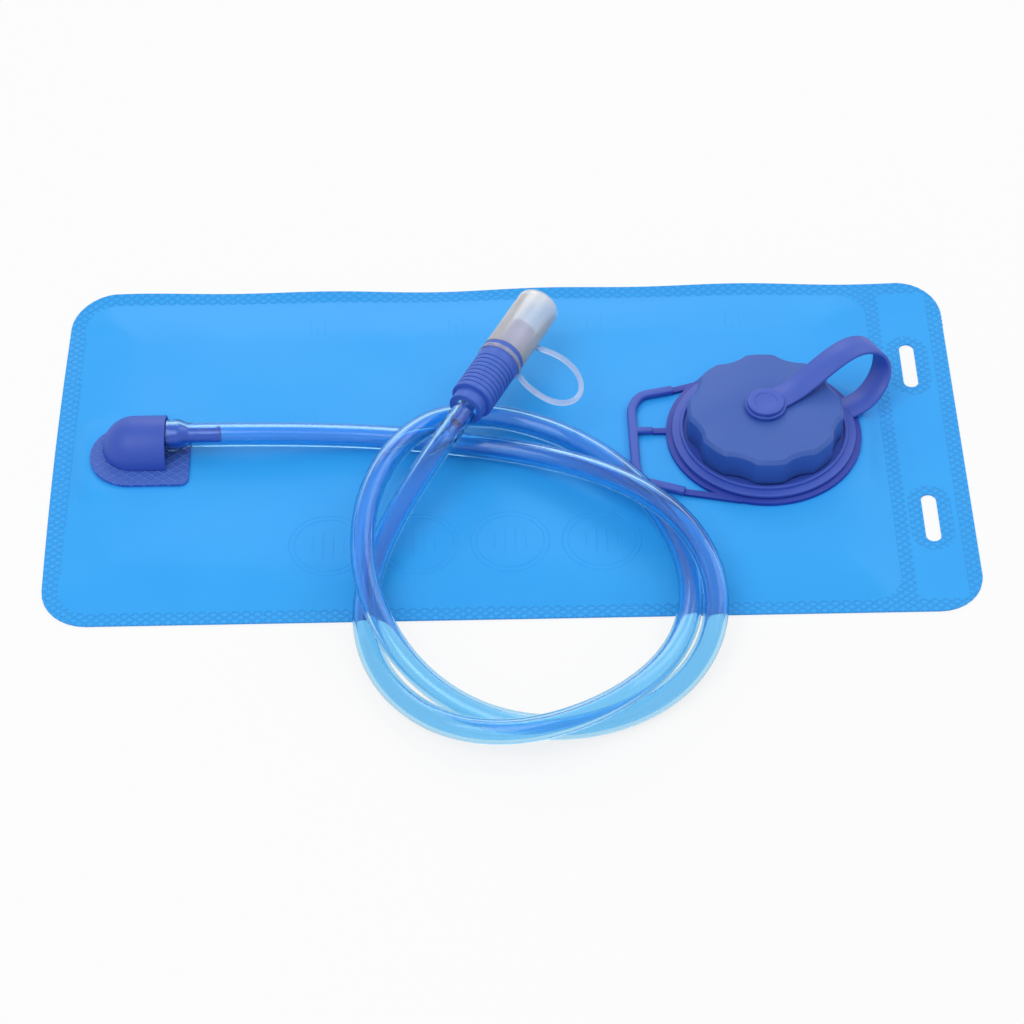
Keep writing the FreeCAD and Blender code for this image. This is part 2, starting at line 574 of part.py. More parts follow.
def hose_connector():
    """Elbow from the plate's socket to the hose: leg, bend, bell seat and spigot."""
    bend = V(ELBOW_X, PORT_Y, HOSE_AXIS_Z)
    along = V(1, 0, 0)
    leg_z = PLATE_TOP
    seat_r = BELL_BORE_R - SPIGOT_CLEARANCE
    seat_end = BELL_X0 + HOSE_BELL_LENGTH
    taper_end = seat_end + HOSE_BELL_TAPER
    spigot_end = taper_end + SPIGOT_LENGTH
    body = Part.makeCylinder(ELBOW_R, HOSE_AXIS_Z - leg_z, V(ELBOW_X, PORT_Y, leg_z))
    body = body.fuse(Part.makeSphere(ELBOW_R, bend))
    body = body.fuse(Part.makeCylinder(ELBOW_R, BELL_X0 - ELBOW_X, bend, along))
    body = body.fuse(Part.makeCylinder(seat_r, seat_end - BELL_X0, V(BELL_X0, PORT_Y, HOSE_AXIS_Z),
                                       along))
    body = body.fuse(Part.makeCone(seat_r, SPIGOT_R, HOSE_BELL_TAPER,
                                   V(seat_end, PORT_Y, HOSE_AXIS_Z), along))
    body = body.fuse(Part.makeCylinder(SPIGOT_R, SPIGOT_LENGTH, V(taper_end, PORT_Y, HOSE_AXIS_Z),
                                       along))
    groove_z = PLATE_TOP + SOCKET_HEIGHT / 2
    groove = Part.makeTorus(ELBOW_R + SOCKET_CLEARANCE - O_RING_R, O_RING_R,
                            V(ELBOW_X, PORT_Y, groove_z), UP)
    body = body.cut(Part.makeCylinder(ELBOW_BORE_R, HOSE_AXIS_Z - leg_z, V(ELBOW_X, PORT_Y, leg_z)))
    body = body.cut(Part.makeSphere(ELBOW_BORE_R, bend))
    body = body.cut(Part.makeCylinder(ELBOW_BORE_R, spigot_end - ELBOW_X + 1, bend, along))
    return body.cut(groove)


def connector_o_ring():
    """Seal between the connector's leg and the plate's socket."""
    return Part.makeTorus(ELBOW_R + SOCKET_CLEARANCE - O_RING_R, O_RING_R,
                          V(ELBOW_X, PORT_Y, PLATE_TOP + SOCKET_HEIGHT / 2), UP)


def hose():
    """Drinking hose along its route, with its stretched end over the connector."""
    path, radii = bent_path(HOSE_ROUTE)
    tube = swept_round(path, HOSE_ROUTE, HOSE_R).cut(swept_round(path, HOSE_ROUTE, HOSE_BORE_R))
    start = V(*HOSE_ROUTE[0])
    bell_start = V(BELL_X0, PORT_Y, HOSE_AXIS_Z)
    taper_start = bell_start + V(HOSE_BELL_LENGTH, 0, 0)
    along = V(1, 0, 0)
    bell = Part.makeCylinder(HOSE_BELL_R, HOSE_BELL_LENGTH, bell_start, along)
    bell = bell.fuse(Part.makeCone(HOSE_BELL_R, HOSE_R, HOSE_BELL_TAPER, taper_start, along))
    bell = bell.cut(Part.makeCylinder(BELL_BORE_R, HOSE_BELL_LENGTH, bell_start, along))
    bell = bell.cut(Part.makeCone(BELL_BORE_R, HOSE_BORE_R, HOSE_BELL_TAPER, taper_start, along))
    section = math.pi * (HOSE_R ** 2 - HOSE_BORE_R ** 2)
    print("hose: length %.1f mm, volume over section x length %.4f" %
          (path.Length, tube.Volume / (section * path.Length)))
    print("hose: bend radii", ", ".join("%.0f" % radius for radius in radii))
    print("hose: gap between bell and tube %.3f" % (start.x - taper_start.x - HOSE_BELL_TAPER))
    return tube.fuse(bell)


def valve_stem():
    """Barbed tail in the hose, collar, post and the plug that shuts the bite tip."""
    barb_r = HOSE_BORE_R - SPIGOT_CLEARANCE
    neck_r = barb_r - 0.35
    pitch = BARB_LENGTH / BARB_RINGS
    post_end = COLLAR_LENGTH + POST_LENGTH
    plug_end = TIP_S0 + TIP_LENGTH - TIP_END_T - PLUG_GAP
    profile = [(STEM_BORE_R, -BARB_LENGTH)]
    for index in range(BARB_RINGS):
        low = -BARB_LENGTH + index * pitch
        profile += [(neck_r, low), (barb_r, low + 0.7 * pitch), (neck_r, low + 0.7 * pitch)]
    profile += [(neck_r, 0), (COLLAR_R, 0), (COLLAR_R, COLLAR_LENGTH), (POST_R, COLLAR_LENGTH),
                (POST_R, post_end), (PLUG_R, post_end), (PLUG_R, plug_end), (0, plug_end),
                (0, post_end - 2.0), (STEM_BORE_R, post_end - 2.0)]
    body = revolved(profile)
    for height in o_ring_places():
        body = body.cut(Part.makeTorus(SLEEVE_BORE_R - O_RING_R, O_RING_R, V(0, 0, height), UP))
    port = Part.makeCylinder(0.7 * STEM_BORE_R, 2 * POST_R, V(-POST_R, 0, post_end - 3.5), V(1, 0, 0))
    return at_mouthpiece(body.cut(port))


def o_ring_places():
    """Heights of the two seals on the post."""
    return COLLAR_LENGTH + 0.25 * POST_LENGTH, COLLAR_LENGTH + 0.6 * POST_LENGTH


def stem_o_rings():
    """Two seals between the post and the sliding sleeve."""
    rings = [Part.makeTorus(SLEEVE_BORE_R - O_RING_R, O_RING_R, V(0, 0, height), UP)
             for height in o_ring_places()]
    return at_mouthpiece(Part.Compound(rings))


def valve_sleeve():
    """Ribbed sleeve that slides on the post, with the seat and nozzle for the bite tip."""
    nozzle_bore = PLUG_R + 1.0
    seat_r = DUST_CAP_BORE_R - DUST_CAP_CLEARANCE
    inner_end = SLEEVE_S0 + POST_LENGTH + 0.4
    nozzle_end = TIP_S0 + NOZZLE_LENGTH
    body = revolved(((SLEEVE_BORE_R, SLEEVE_S0), (SLEEVE_R, SLEEVE_S0), (SLEEVE_R, SLEEVE_S1),
                     (seat_r, SLEEVE_S1), (seat_r, TIP_S0), (NOZZLE_R, TIP_S0),
                     (NOZZLE_R, nozzle_end), (nozzle_bore, nozzle_end), (nozzle_bore, inner_end),
                     (SLEEVE_BORE_R, inner_end)))
    for index in range(RIB_COUNT):
        low = SLEEVE_S0 + RIB_PITCH * (index + 0.9)
        body = body.cut(ring(SLEEVE_R + 1, SLEEVE_R - RIB_GROOVE_DEPTH, low, low + RIB_GROOVE_WIDTH))
    low = SLEEVE_S0 + RING_GROOVE_START
    body = body.cut(ring(SLEEVE_R + 1, SLEEVE_R - RING_GROOVE_DEPTH, low, low + RING_GROOVE_WIDTH))
    return at_mouthpiece(body)


def bite_tip():
    """Soft spout over the sleeve's nozzle; its end hole is shut by the plug."""
    end = TIP_S0 + TIP_LENGTH
    inner_end = end - TIP_END_T
    return at_mouthpiece(revolved(((NOZZLE_R, TIP_S0), (TIP_R, TIP_S0), (TIP_R, end - 1.0),
                                   (TIP_R - 1.0, end), (TIP_HOLE_R, end), (TIP_HOLE_R, inner_end),
                                   (NOZZLE_R, inner_end))))


def dust_cap():
    """Clear cup over the spout, pushed on the sleeve's seat."""
    end = SLEEVE_S1 + DUST_CAP_LENGTH
    edge = DUST_CAP_EDGE_R
    body = Part.makeCylinder(DUST_CAP_R, DUST_CAP_LENGTH, V(0, 0, SLEEVE_S1))
    rim = [item for item in body.Edges if item.BoundBox.ZMin > end - 1e-6]
    body = body.makeFillet(edge, rim)
    inner = Part.makeCylinder(DUST_CAP_BORE_R, DUST_CAP_LENGTH - DUST_CAP_WALL, V(0, 0, SLEEVE_S1))
    return at_mouthpiece(body.cut(inner))


def dust_cap_ring():
    """Clear ring in the sleeve's groove that holds the dust cap's tether."""
    low = SLEEVE_S0 + RING_GROOVE_START
    return at_mouthpiece(ring(RING_R, SLEEVE_R - RING_GROOVE_DEPTH, low, low + RING_GROOVE_WIDTH))


def dust_cap_tether():
    """Thin clear loop from the ring to the dust cap's mouth."""
    along = mouthpiece_axis()
    right = along.cross(UP)
    points = [V(*HOSE_ROUTE[-1]) + along * ahead + right * out + UP * rise
              for ahead, out, rise in LOOP_POINTS]
    loop = swept_round(bent_path(points)[0], points, TETHER_CORD_R)
    keep_clear = Part.makeCylinder(RING_R, SLEEVE_LENGTH + DUST_CAP_LENGTH, V(0, 0, SLEEVE_S0))
    return loop.cut(at_mouthpiece(keep_clear))


NODES = {
    "back_film": back_film, "front_film": front_film, "hanging_tab": hanging_tab,
    "fill_neck": fill_neck,
    "grip_bow": grip_bow, "cap_tether": cap_tether, "fill_cap": fill_cap,
    "cap_gasket": cap_gasket, "tether_button": tether_button, "port_plate": port_plate,
    "port_cowl": port_cowl, "hose_connector": hose_connector,
    "connector_o_ring": connector_o_ring, "hose": hose, "valve_stem": valve_stem,
    "stem_o_rings": stem_o_rings, "valve_sleeve": valve_sleeve, "bite_tip": bite_tip,
    "dust_cap": dust_cap, "dust_cap_ring": dust_cap_ring, "dust_cap_tether": dust_cap_tether,
}


def main():
    """Build every node and write its STEP file."""
    os.makedirs("parts", exist_ok=True)
    for name, build in NODES.items():
        shape = build()
        shape.exportStep("parts/%s.step" % name)
        print("%-18s solids %d valid %s volume %.1f" % (name, len(shape.Solids), shape.isValid(),
                                                        shape.Volume))


main()
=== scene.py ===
"""Studio scene of a soft hydration bladder with its screw port, drinking hose and bite valve.

Metres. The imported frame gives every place; this script adds the finishes, the welded films, the
coiled hose, the two flexible tethers, the camera and the light.
"""
import logging
import math
from dataclasses import dataclass
from enum import Enum

import bmesh
import bpy
import numpy as np
from mathutils import Matrix, Vector, noise
from mathutils.geometry import delaunay_2d_cdt

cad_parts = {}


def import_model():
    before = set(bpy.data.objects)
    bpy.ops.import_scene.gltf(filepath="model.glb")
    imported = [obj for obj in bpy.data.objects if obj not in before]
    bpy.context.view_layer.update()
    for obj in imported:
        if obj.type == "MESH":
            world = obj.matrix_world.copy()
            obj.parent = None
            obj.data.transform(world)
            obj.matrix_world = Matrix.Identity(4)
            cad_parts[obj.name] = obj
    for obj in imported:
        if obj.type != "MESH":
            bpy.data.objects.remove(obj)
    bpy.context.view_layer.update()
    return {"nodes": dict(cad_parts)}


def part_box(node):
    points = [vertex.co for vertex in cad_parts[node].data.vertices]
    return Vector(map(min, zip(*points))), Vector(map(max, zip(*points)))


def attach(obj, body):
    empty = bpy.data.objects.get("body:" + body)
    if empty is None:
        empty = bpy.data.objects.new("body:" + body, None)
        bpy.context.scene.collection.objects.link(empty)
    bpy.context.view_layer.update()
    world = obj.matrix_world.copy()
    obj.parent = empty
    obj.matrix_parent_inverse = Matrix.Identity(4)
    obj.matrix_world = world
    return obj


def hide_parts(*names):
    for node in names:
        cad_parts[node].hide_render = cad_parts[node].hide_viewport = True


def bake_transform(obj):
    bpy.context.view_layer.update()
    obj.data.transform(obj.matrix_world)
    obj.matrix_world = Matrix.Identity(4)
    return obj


LOG = logging.getLogger("bladder")
MM = 0.001
WAVE_FACTOR = 2 * math.pi / 20     # a Wave Texture's scale times its period, in metres
MERGE = 1e-6                       # corners closer than this are one corner, in metres
SAME_POINT = 1e-7                  # points of a line closer than this are one point
LATTICE_TURN = math.radians(38)
MOULD_SHARP = math.radians(34)     # sharper edges of a moulded piece stay sharp
FILL_PORT_X = 101 * MM


class Layout(Enum):
    """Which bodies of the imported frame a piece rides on."""

    BAG = "bag"
    TETHER = "cap_tether_body"
    FILL_CAP = "fill_cap_body"
    SLEEVE = "valve_sleeve_body"
    DUST_CAP = "dust_cap_body"


def linear(code: str) -> tuple[float, float, float, float]:
    """Turn an sRGB hex colour into linear light.

    Args:
        code: colour such as "#4DAEF7".

    Returns:
        Red, green, blue and an alpha of 1.
    """
    parts = [int(code[i:i + 2], 16) / 255 for i in (1, 3, 5)]
    light = [c / 12.92 if c <= 0.04045 else ((c + 0.055) / 1.055) ** 2.4 for c in parts]
    return (light[0], light[1], light[2], 1.0)


def add(tree: bpy.types.NodeTree, kind: str, links: dict | None = None,
        values: dict | None = None, **settings: object) -> bpy.types.Node:
    """Add one node with its settings, socket values and links.

    Args:
        tree: the node tree.
        kind: the node's type name.
        links: input name or number to the output socket that feeds it.
        values: input name or number to its value.
        settings: attributes of the node.

    Returns:
        The new node.
    """
    node = tree.nodes.new(kind)
    for name, value in settings.items():
        setattr(node, name, value)
    for name, value in (values or {}).items():
        node.inputs[name].default_value = value
    for name, source in (links or {}).items():
        tree.links.new(source, node.inputs[name])
    return node


def new_material(name: str) -> tuple[bpy.types.Material, bpy.types.NodeTree]:
    """Start a material with an empty node tree.

    Args:
        name: the material's name.

    Returns:
        The material and its tree.
    """
    material = bpy.data.materials.new(name)
    material.use_nodes = True
    material.node_tree.nodes.clear()
    return material, material.node_tree


def lattice(tree: bpy.types.NodeTree, place: bpy.types.NodeSocket, pitch: float
            ) -> bpy.types.NodeSocket:
    """Add two crossing sets of fine lines, as a knurled welding bar presses them in.

    Args:
        tree: the material's tree.
        place: the coordinates.
        pitch: distance between lines, in metres.

    Returns:
        Socket that is 1 on the lines.
    """
    waves = []
    for turn in (LATTICE_TURN, -LATTICE_TURN):
        turned = add(tree, "ShaderNodeMapping", {"Vector": place})
        turned.inputs["Rotation"].default_value = (0, 0, turn)
        wave = add(tree, "ShaderNodeTexWave", {"Vector": turned.outputs["Vector"]},
                   {"Scale": WAVE_FACTOR / pitch}, bands_direction="Y")
        waves.append(add(tree, "ShaderNodeMapRange", {"Value": wave.outputs["Fac"]},
                         {"From Min": 0.78, "From Max": 0.98}).outputs["Result"])
    return add(tree, "ShaderNodeMath", {0: waves[0], 1: waves[1]},
               operation="MAXIMUM").outputs["Value"]


def mixed(tree: bpy.types.NodeTree, share: bpy.types.NodeSocket,
          first: bpy.types.NodeSocket | str, second: str) -> bpy.types.NodeSocket:
    """Mix two colours.

    Args:
        tree: the material's tree.
        share: socket with the second colour's share.
        first: socket or sRGB hex colour where the share is 0.
        second: sRGB hex colour where it is 1.

    Returns:
        The colour's socket.
    """
    mix = add(tree, "ShaderNodeMix", {"Factor": share}, {7: linear(second)}, data_type="RGBA")
    if isinstance(first, str):
        mix.inputs[6].default_value = linear(first)
    else:
        tree.links.new(first, mix.inputs[6])
    return mix.outputs[2]


def direct_sight(tree: bpy.types.NodeTree) -> bpy.types.NodeSocket:
    """Tell what is seen, directly, mirrored or through clear plastic, from what only gives light.

    Args:
        tree: a material's or the world's tree.

    Returns:
        Socket that is 1 where something is seen.
    """
    path = add(tree, "ShaderNodeLightPath").outputs
    seen = path["Is Camera Ray"]
    for kind in ("Is Glossy Ray", "Is Transmission Ray"):
        seen = add(tree, "ShaderNodeMath", {0: seen, 1: path[kind]},
                   operation="MAXIMUM").outputs["Value"]
    return seen


@dataclass(frozen=True)
class MouldedPlastic:
    """Injection-moulded polyethylene: even colour, a fine spark-eroded grain, a soft broad sheen."""

    name: str
    colour: str
    shade: str
    roughness: float = 0.46
    grain: float = 0.55 * MM       # coarser than the real 0.1 mm, so that it shows
    depth: float = 0.03 * MM
    pressed_pitch: float = 0.0     # raised diamond lines, none where it is 0
    pressed_line: str = "#4C72D2"

    def build(self) -> bpy.types.Material:
        """Make the material.

        Returns:
            The material.
        """
        material, tree = new_material(self.name)
        place = add(tree, "ShaderNodeTexCoord").outputs["Object"]
        cloud = add(tree, "ShaderNodeTexNoise", {"Vector": place},
                    {"Scale": 1 / (14 * MM), "Detail": 3.0})
        colour = mixed(tree, cloud.outputs["Fac"], self.shade, self.colour)
        grain = add(tree, "ShaderNodeTexNoise", {"Vector": place},
                    {"Scale": 1 / self.grain, "Detail": 2.0})
        bump = add(tree, "ShaderNodeBump", {"Height": grain.outputs["Fac"]},
                   {"Strength": 0.35, "Distance": self.depth})
        if self.pressed_pitch > 0:
            raised = lattice(tree, place, self.pressed_pitch)
            bump = add(tree, "ShaderNodeBump", {"Height": raised, "Normal": bump.outputs["Normal"]},
                       {"Strength": 0.9, "Distance": 0.4 * MM})
            colour = mixed(tree, raised, colour, self.pressed_line)
        rough = add(tree, "ShaderNodeMapRange", {"Value": cloud.outputs["Fac"]},
                    {"To Min": self.roughness - 0.05, "To Max": self.roughness + 0.07})
        shader = add(tree, "ShaderNodeBsdfPrincipled",
                     {"Base Color": colour, "Normal": bump.outputs["Normal"],
                      "Roughness": rough.outputs["Result"]}, {"IOR": 1.5})
        add(tree, "ShaderNodeOutputMaterial", {"Surface": shader.outputs["BSDF"]})
        return material


@dataclass(frozen=True)
class PolyurethaneFilm:
    """Calendered polyurethane film: translucent blue, silky gloss, faint waves from the roller."""

    name: str
    colour: str = "#36ADFC"
    shade: str = "#2DA3F6"
    welded: bool = False
    weld_pitch: float = 2.6 * MM   # diamond lattice that the welding bar presses in
    weld_line: str = "#309CEC"

    def build(self) -> bpy.types.Material:
        """Make the material.

        Returns:
            The material.
        """
        material, tree = new_material(self.name)
        place = add(tree, "ShaderNodeTexCoord").outputs["Object"]
        cloud = add(tree, "ShaderNodeTexNoise", {"Vector": place},
                    {"Scale": 1 / (55 * MM), "Detail": 3.0, "Roughness": 0.55})
        colour = mixed(tree, cloud.outputs["Fac"], self.shade, self.colour)
        fine = add(tree, "ShaderNodeTexNoise", {"Vector": place},
                   {"Scale": 1 / (1.4 * MM), "Detail": 2.0})
        bump = add(tree, "ShaderNodeBump", {"Height": fine.outputs["Fac"]},
                   {"Strength": 0.25, "Distance": 0.04 * MM})
        if self.welded:
            pressed = lattice(tree, place, self.weld_pitch)
            bump = add(tree, "ShaderNodeBump",
                       {"Height": pressed, "Normal": bump.outputs["Normal"]},
                       {"Strength": 0.7, "Distance": 0.3 * MM}, invert=True)
            colour = mixed(tree, pressed, colour, self.weld_line)
        shader = add(tree, "ShaderNodeBsdfPrincipled",
                     {"Base Color": colour, "Normal": bump.outputs["Normal"]},
                     {"Roughness": 0.4, "IOR": 1.4, "Specular IOR Level": 0.35})
        add(tree, "ShaderNodeOutputMaterial", {"Surface": shader.outputs["BSDF"]})
        return material


@dataclass(frozen=True)
class ClearPlastic:
    """Extruded or moulded clear plastic: light passes through, tinted by each surface it crosses."""

    name: str
    colour: str
    roughness: float
    transmission: float = 1.0
    ripple: float = 9 * MM         # length of the faint draw marks

    def build(self) -> bpy.types.Material:
        """Make the material.

        Returns:
            The material.
        """
        material, tree = new_material(self.name)
        place = add(tree, "ShaderNodeTexCoord").outputs["Object"]
        marks = add(tree, "ShaderNodeTexNoise", {"Vector": place},
                    {"Scale": 1 / self.ripple, "Detail": 1.0})
        bump = add(tree, "ShaderNodeBump", {"Height": marks.outputs["Fac"]},
                   {"Strength": 0.2, "Distance": 0.12 * MM})
        shader = add(tree, "ShaderNodeBsdfPrincipled", {"Normal": bump.outputs["Normal"]},
                     {"Base Color": linear(self.colour), "Roughness": self.roughness,
                      "IOR": 1.42, "Transmission Weight": self.transmission})
        add(tree, "ShaderNodeOutputMaterial", {"Surface": shader.outputs["BSDF"]})
        return material


class Finishes:
    """All finishes of the object, built once."""

    def __init__(self) -> None:
        """Build every material."""
        self.cap = MouldedPlastic("moulded_pe_cap_blue", "#365FB6", "#3059AE").build()
        self.port = MouldedPlastic("moulded_pe_port_blue", "#3256BE", "#2C4EB4").build()
        self.plate = MouldedPlastic("pressed_pe_plate_blue", "#3A66C8", "#345EC0",
                                    pressed_pitch=3.0 * MM).build()
        self.valve = MouldedPlastic("moulded_pe_valve_blue", "#3C66CA", "#355EC2").build()
        self.flange = MouldedPlastic("moulded_pe_flange_blue", "#2340AE", "#1E38A2").build()
        self.strap = MouldedPlastic("moulded_pe_strap_blue", "#3D5CC2", "#3655BA").build()
        self.tip = MouldedPlastic("silicone_spout_lilac", "#7C86D0", "#727CC8", 0.5).build()
        self.seal = MouldedPlastic("nitrile_seal_black", "#202226", "#17181B", 0.6).build()
        self.film = PolyurethaneFilm("polyurethane_film_blue").build()
        self.weld = PolyurethaneFilm("polyurethane_weld_blue", welded=True).build()
        self.hose = ClearPlastic("extruded_tpu_hose_blue", "#ABE1FC", 0.09).build()
        self.clear = ClearPlastic("moulded_pp_clear", "#FFFFFF", 0.2, 0.8).build()
        self.spigot = MouldedPlastic("moulded_pa_spigot_blue", "#4A68D2", "#3F5CC8", 0.3).build()
        self.cord = ClearPlastic("cast_silicone_clear", "#F2F4FC", 0.16, 0.8).build()


def mesh_object(name: str, mesh: bpy.types.Mesh) -> bpy.types.Object:
    """Put a mesh into the scene as an object at the origin.

    Args:
        name: the object's name.
        mesh: its mesh.

    Returns:
        The object.
    """
    made = bpy.data.objects.new(name, mesh)
    bpy.context.scene.collection.objects.link(made)
    return made


def applied(piece: bpy.types.Object) -> None:
    """Turn a piece's modifiers into its plain mesh.

    Args:
        piece: the object.
    """
    bpy.context.view_layer.update()
    graph = bpy.context.evaluated_depsgraph_get()
    mesh = bpy.data.meshes.new_from_object(piece.evaluated_get(graph))
    piece.modifiers.clear()
    piece.data = mesh


def smooth(mesh: bpy.types.Mesh, angle: float) -> None:
    """Shade a mesh smooth, with sharp edges over an angle.

    Args:
        mesh: the mesh.
        angle: the angle in radians.
    """
    mesh.shade_smooth()
    mesh.set_sharp_from_angle(angle=angle)


def cad_copy(node: str, material: bpy.types.Material, flatten: bool) -> bpy.types.Object:
    """Copy a node's CAD shape as one joined mesh.

    Args:
        node: the node's name.
        material: the copy's finish.
        flatten: whether flat faces are joined into one.

    Returns:
        The copy, named after the node.
    """
    mesh = FRAME["nodes"][node].data.copy()
    work = bmesh.new()
    work.from_mesh(mesh)
    bmesh.ops.remove_doubles(work, verts=work.verts, dist=MERGE)
    if flatten:
        bmesh.ops.dissolve_limit(work, angle_limit=math.radians(1.0), verts=work.verts,
                                 edges=work.edges)
    work.to_mesh(mesh)
    work.free()
    mesh.materials.clear()
    mesh.materials.append(material)
    return mesh_object(node + "_piece", mesh)


@dataclass
class MouldedPiece:
    """A moulded piece: the CAD shape with the small rounds of its mould on the edges."""

    node: str
    layout: Layout
    material: bpy.types.Material
    round_edge: float = 0.3 * MM

    def build(self) -> bpy.types.Object:
        """Make the rounded copy that stands for the node.

        Returns:
            The piece.
        """
        piece = cad_copy(self.node, self.material, flatten=True)
        if self.round_edge > 0:
            bevel = piece.modifiers.new("round", "BEVEL")
            bevel.width = self.round_edge
            bevel.segments = 3
            bevel.limit_method = "ANGLE"
            bevel.angle_limit = math.radians(38)
            bevel.use_clamp_overlap = True
            applied(piece)
        smooth(piece.data, MOULD_SHARP)
        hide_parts(self.node)
        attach(piece, self.layout.value)
        LOG.info("moulded %s: %d faces", self.node, len(piece.data.polygons))
        return piece


@dataclass(frozen=True)
class RoundEnded:
    """Outline with straight sides along y and round ends, or a circle where it isn't long."""

    x: float
    y: float
    half_x: float
    half_y: float                  # no less than half_x
    count: int

    def loop(self) -> list[tuple[float, float]]:
        """Points round the outline.

        Returns:
            The points.
        """
        straight = self.half_y - self.half_x
        points = []
        for index in range(self.count):
            angle = 2 * math.pi * (index + 0.5) / self.count
            shift = math.copysign(straight, math.sin(angle))
            points.append((self.x + self.half_x * math.cos(angle),
                           self.y + self.half_x * math.sin(angle) + shift))
        return points

    def sagitta(self) -> float:
        """How far the straight steps between the points cut inside the round ends.

        Returns:
            The distance.
        """
        return self.half_x * (1 - math.cos(math.pi / self.count))

    def holds(self, x: float, y: float, inset: float = 0.0) -> bool:
        """Whether a place is inside.

        Args:
            x: place along the bag.
            y: place across it.
            inset: how far inside it has to be.

        Returns:
            True inside.
        """
        over = max(abs(y - self.y) - (self.half_y - self.half_x), 0)
        return math.hypot(x - self.x, over) < self.half_x - inset


def rounded_loop(x0: float, x1: float, half_y: float, radius: float, step: float
                 ) -> list[tuple[float, float]]:
    """Points of a rounded rectangle centred on y = 0.

    Args:
        x0: lower end.
        x1: upper end.
        half_y: half height.
        radius: corner radius.
        step: spacing along the sides.

    Returns:
        The loop's points, anticlockwise.
    """
    corners = [(x1 - radius, half_y - radius, 0), (x0 + radius, half_y - radius, 90),
               (x0 + radius, radius - half_y, 180), (x1 - radius, radius - half_y, 270)]
    points: list[tuple[float, float]] = []
    for cx, cy, start in corners:
        for turn in np.linspace(start, start + 90, 9):
            angle = math.radians(turn)
            points.append((cx + radius * math.cos(angle), cy + radius * math.sin(angle)))
    loop: list[tuple[float, float]] = []
    for here, ahead in zip(points, points[1:] + points[:1]):
        count = max(1, round(math.dist(here, ahead) / step))
        for share in range(count):
            mix = share / count
            loop.append((here[0] + (ahead[0] - here[0]) * mix, here[1] + (ahead[1] - here[1]) * mix))
    return loop


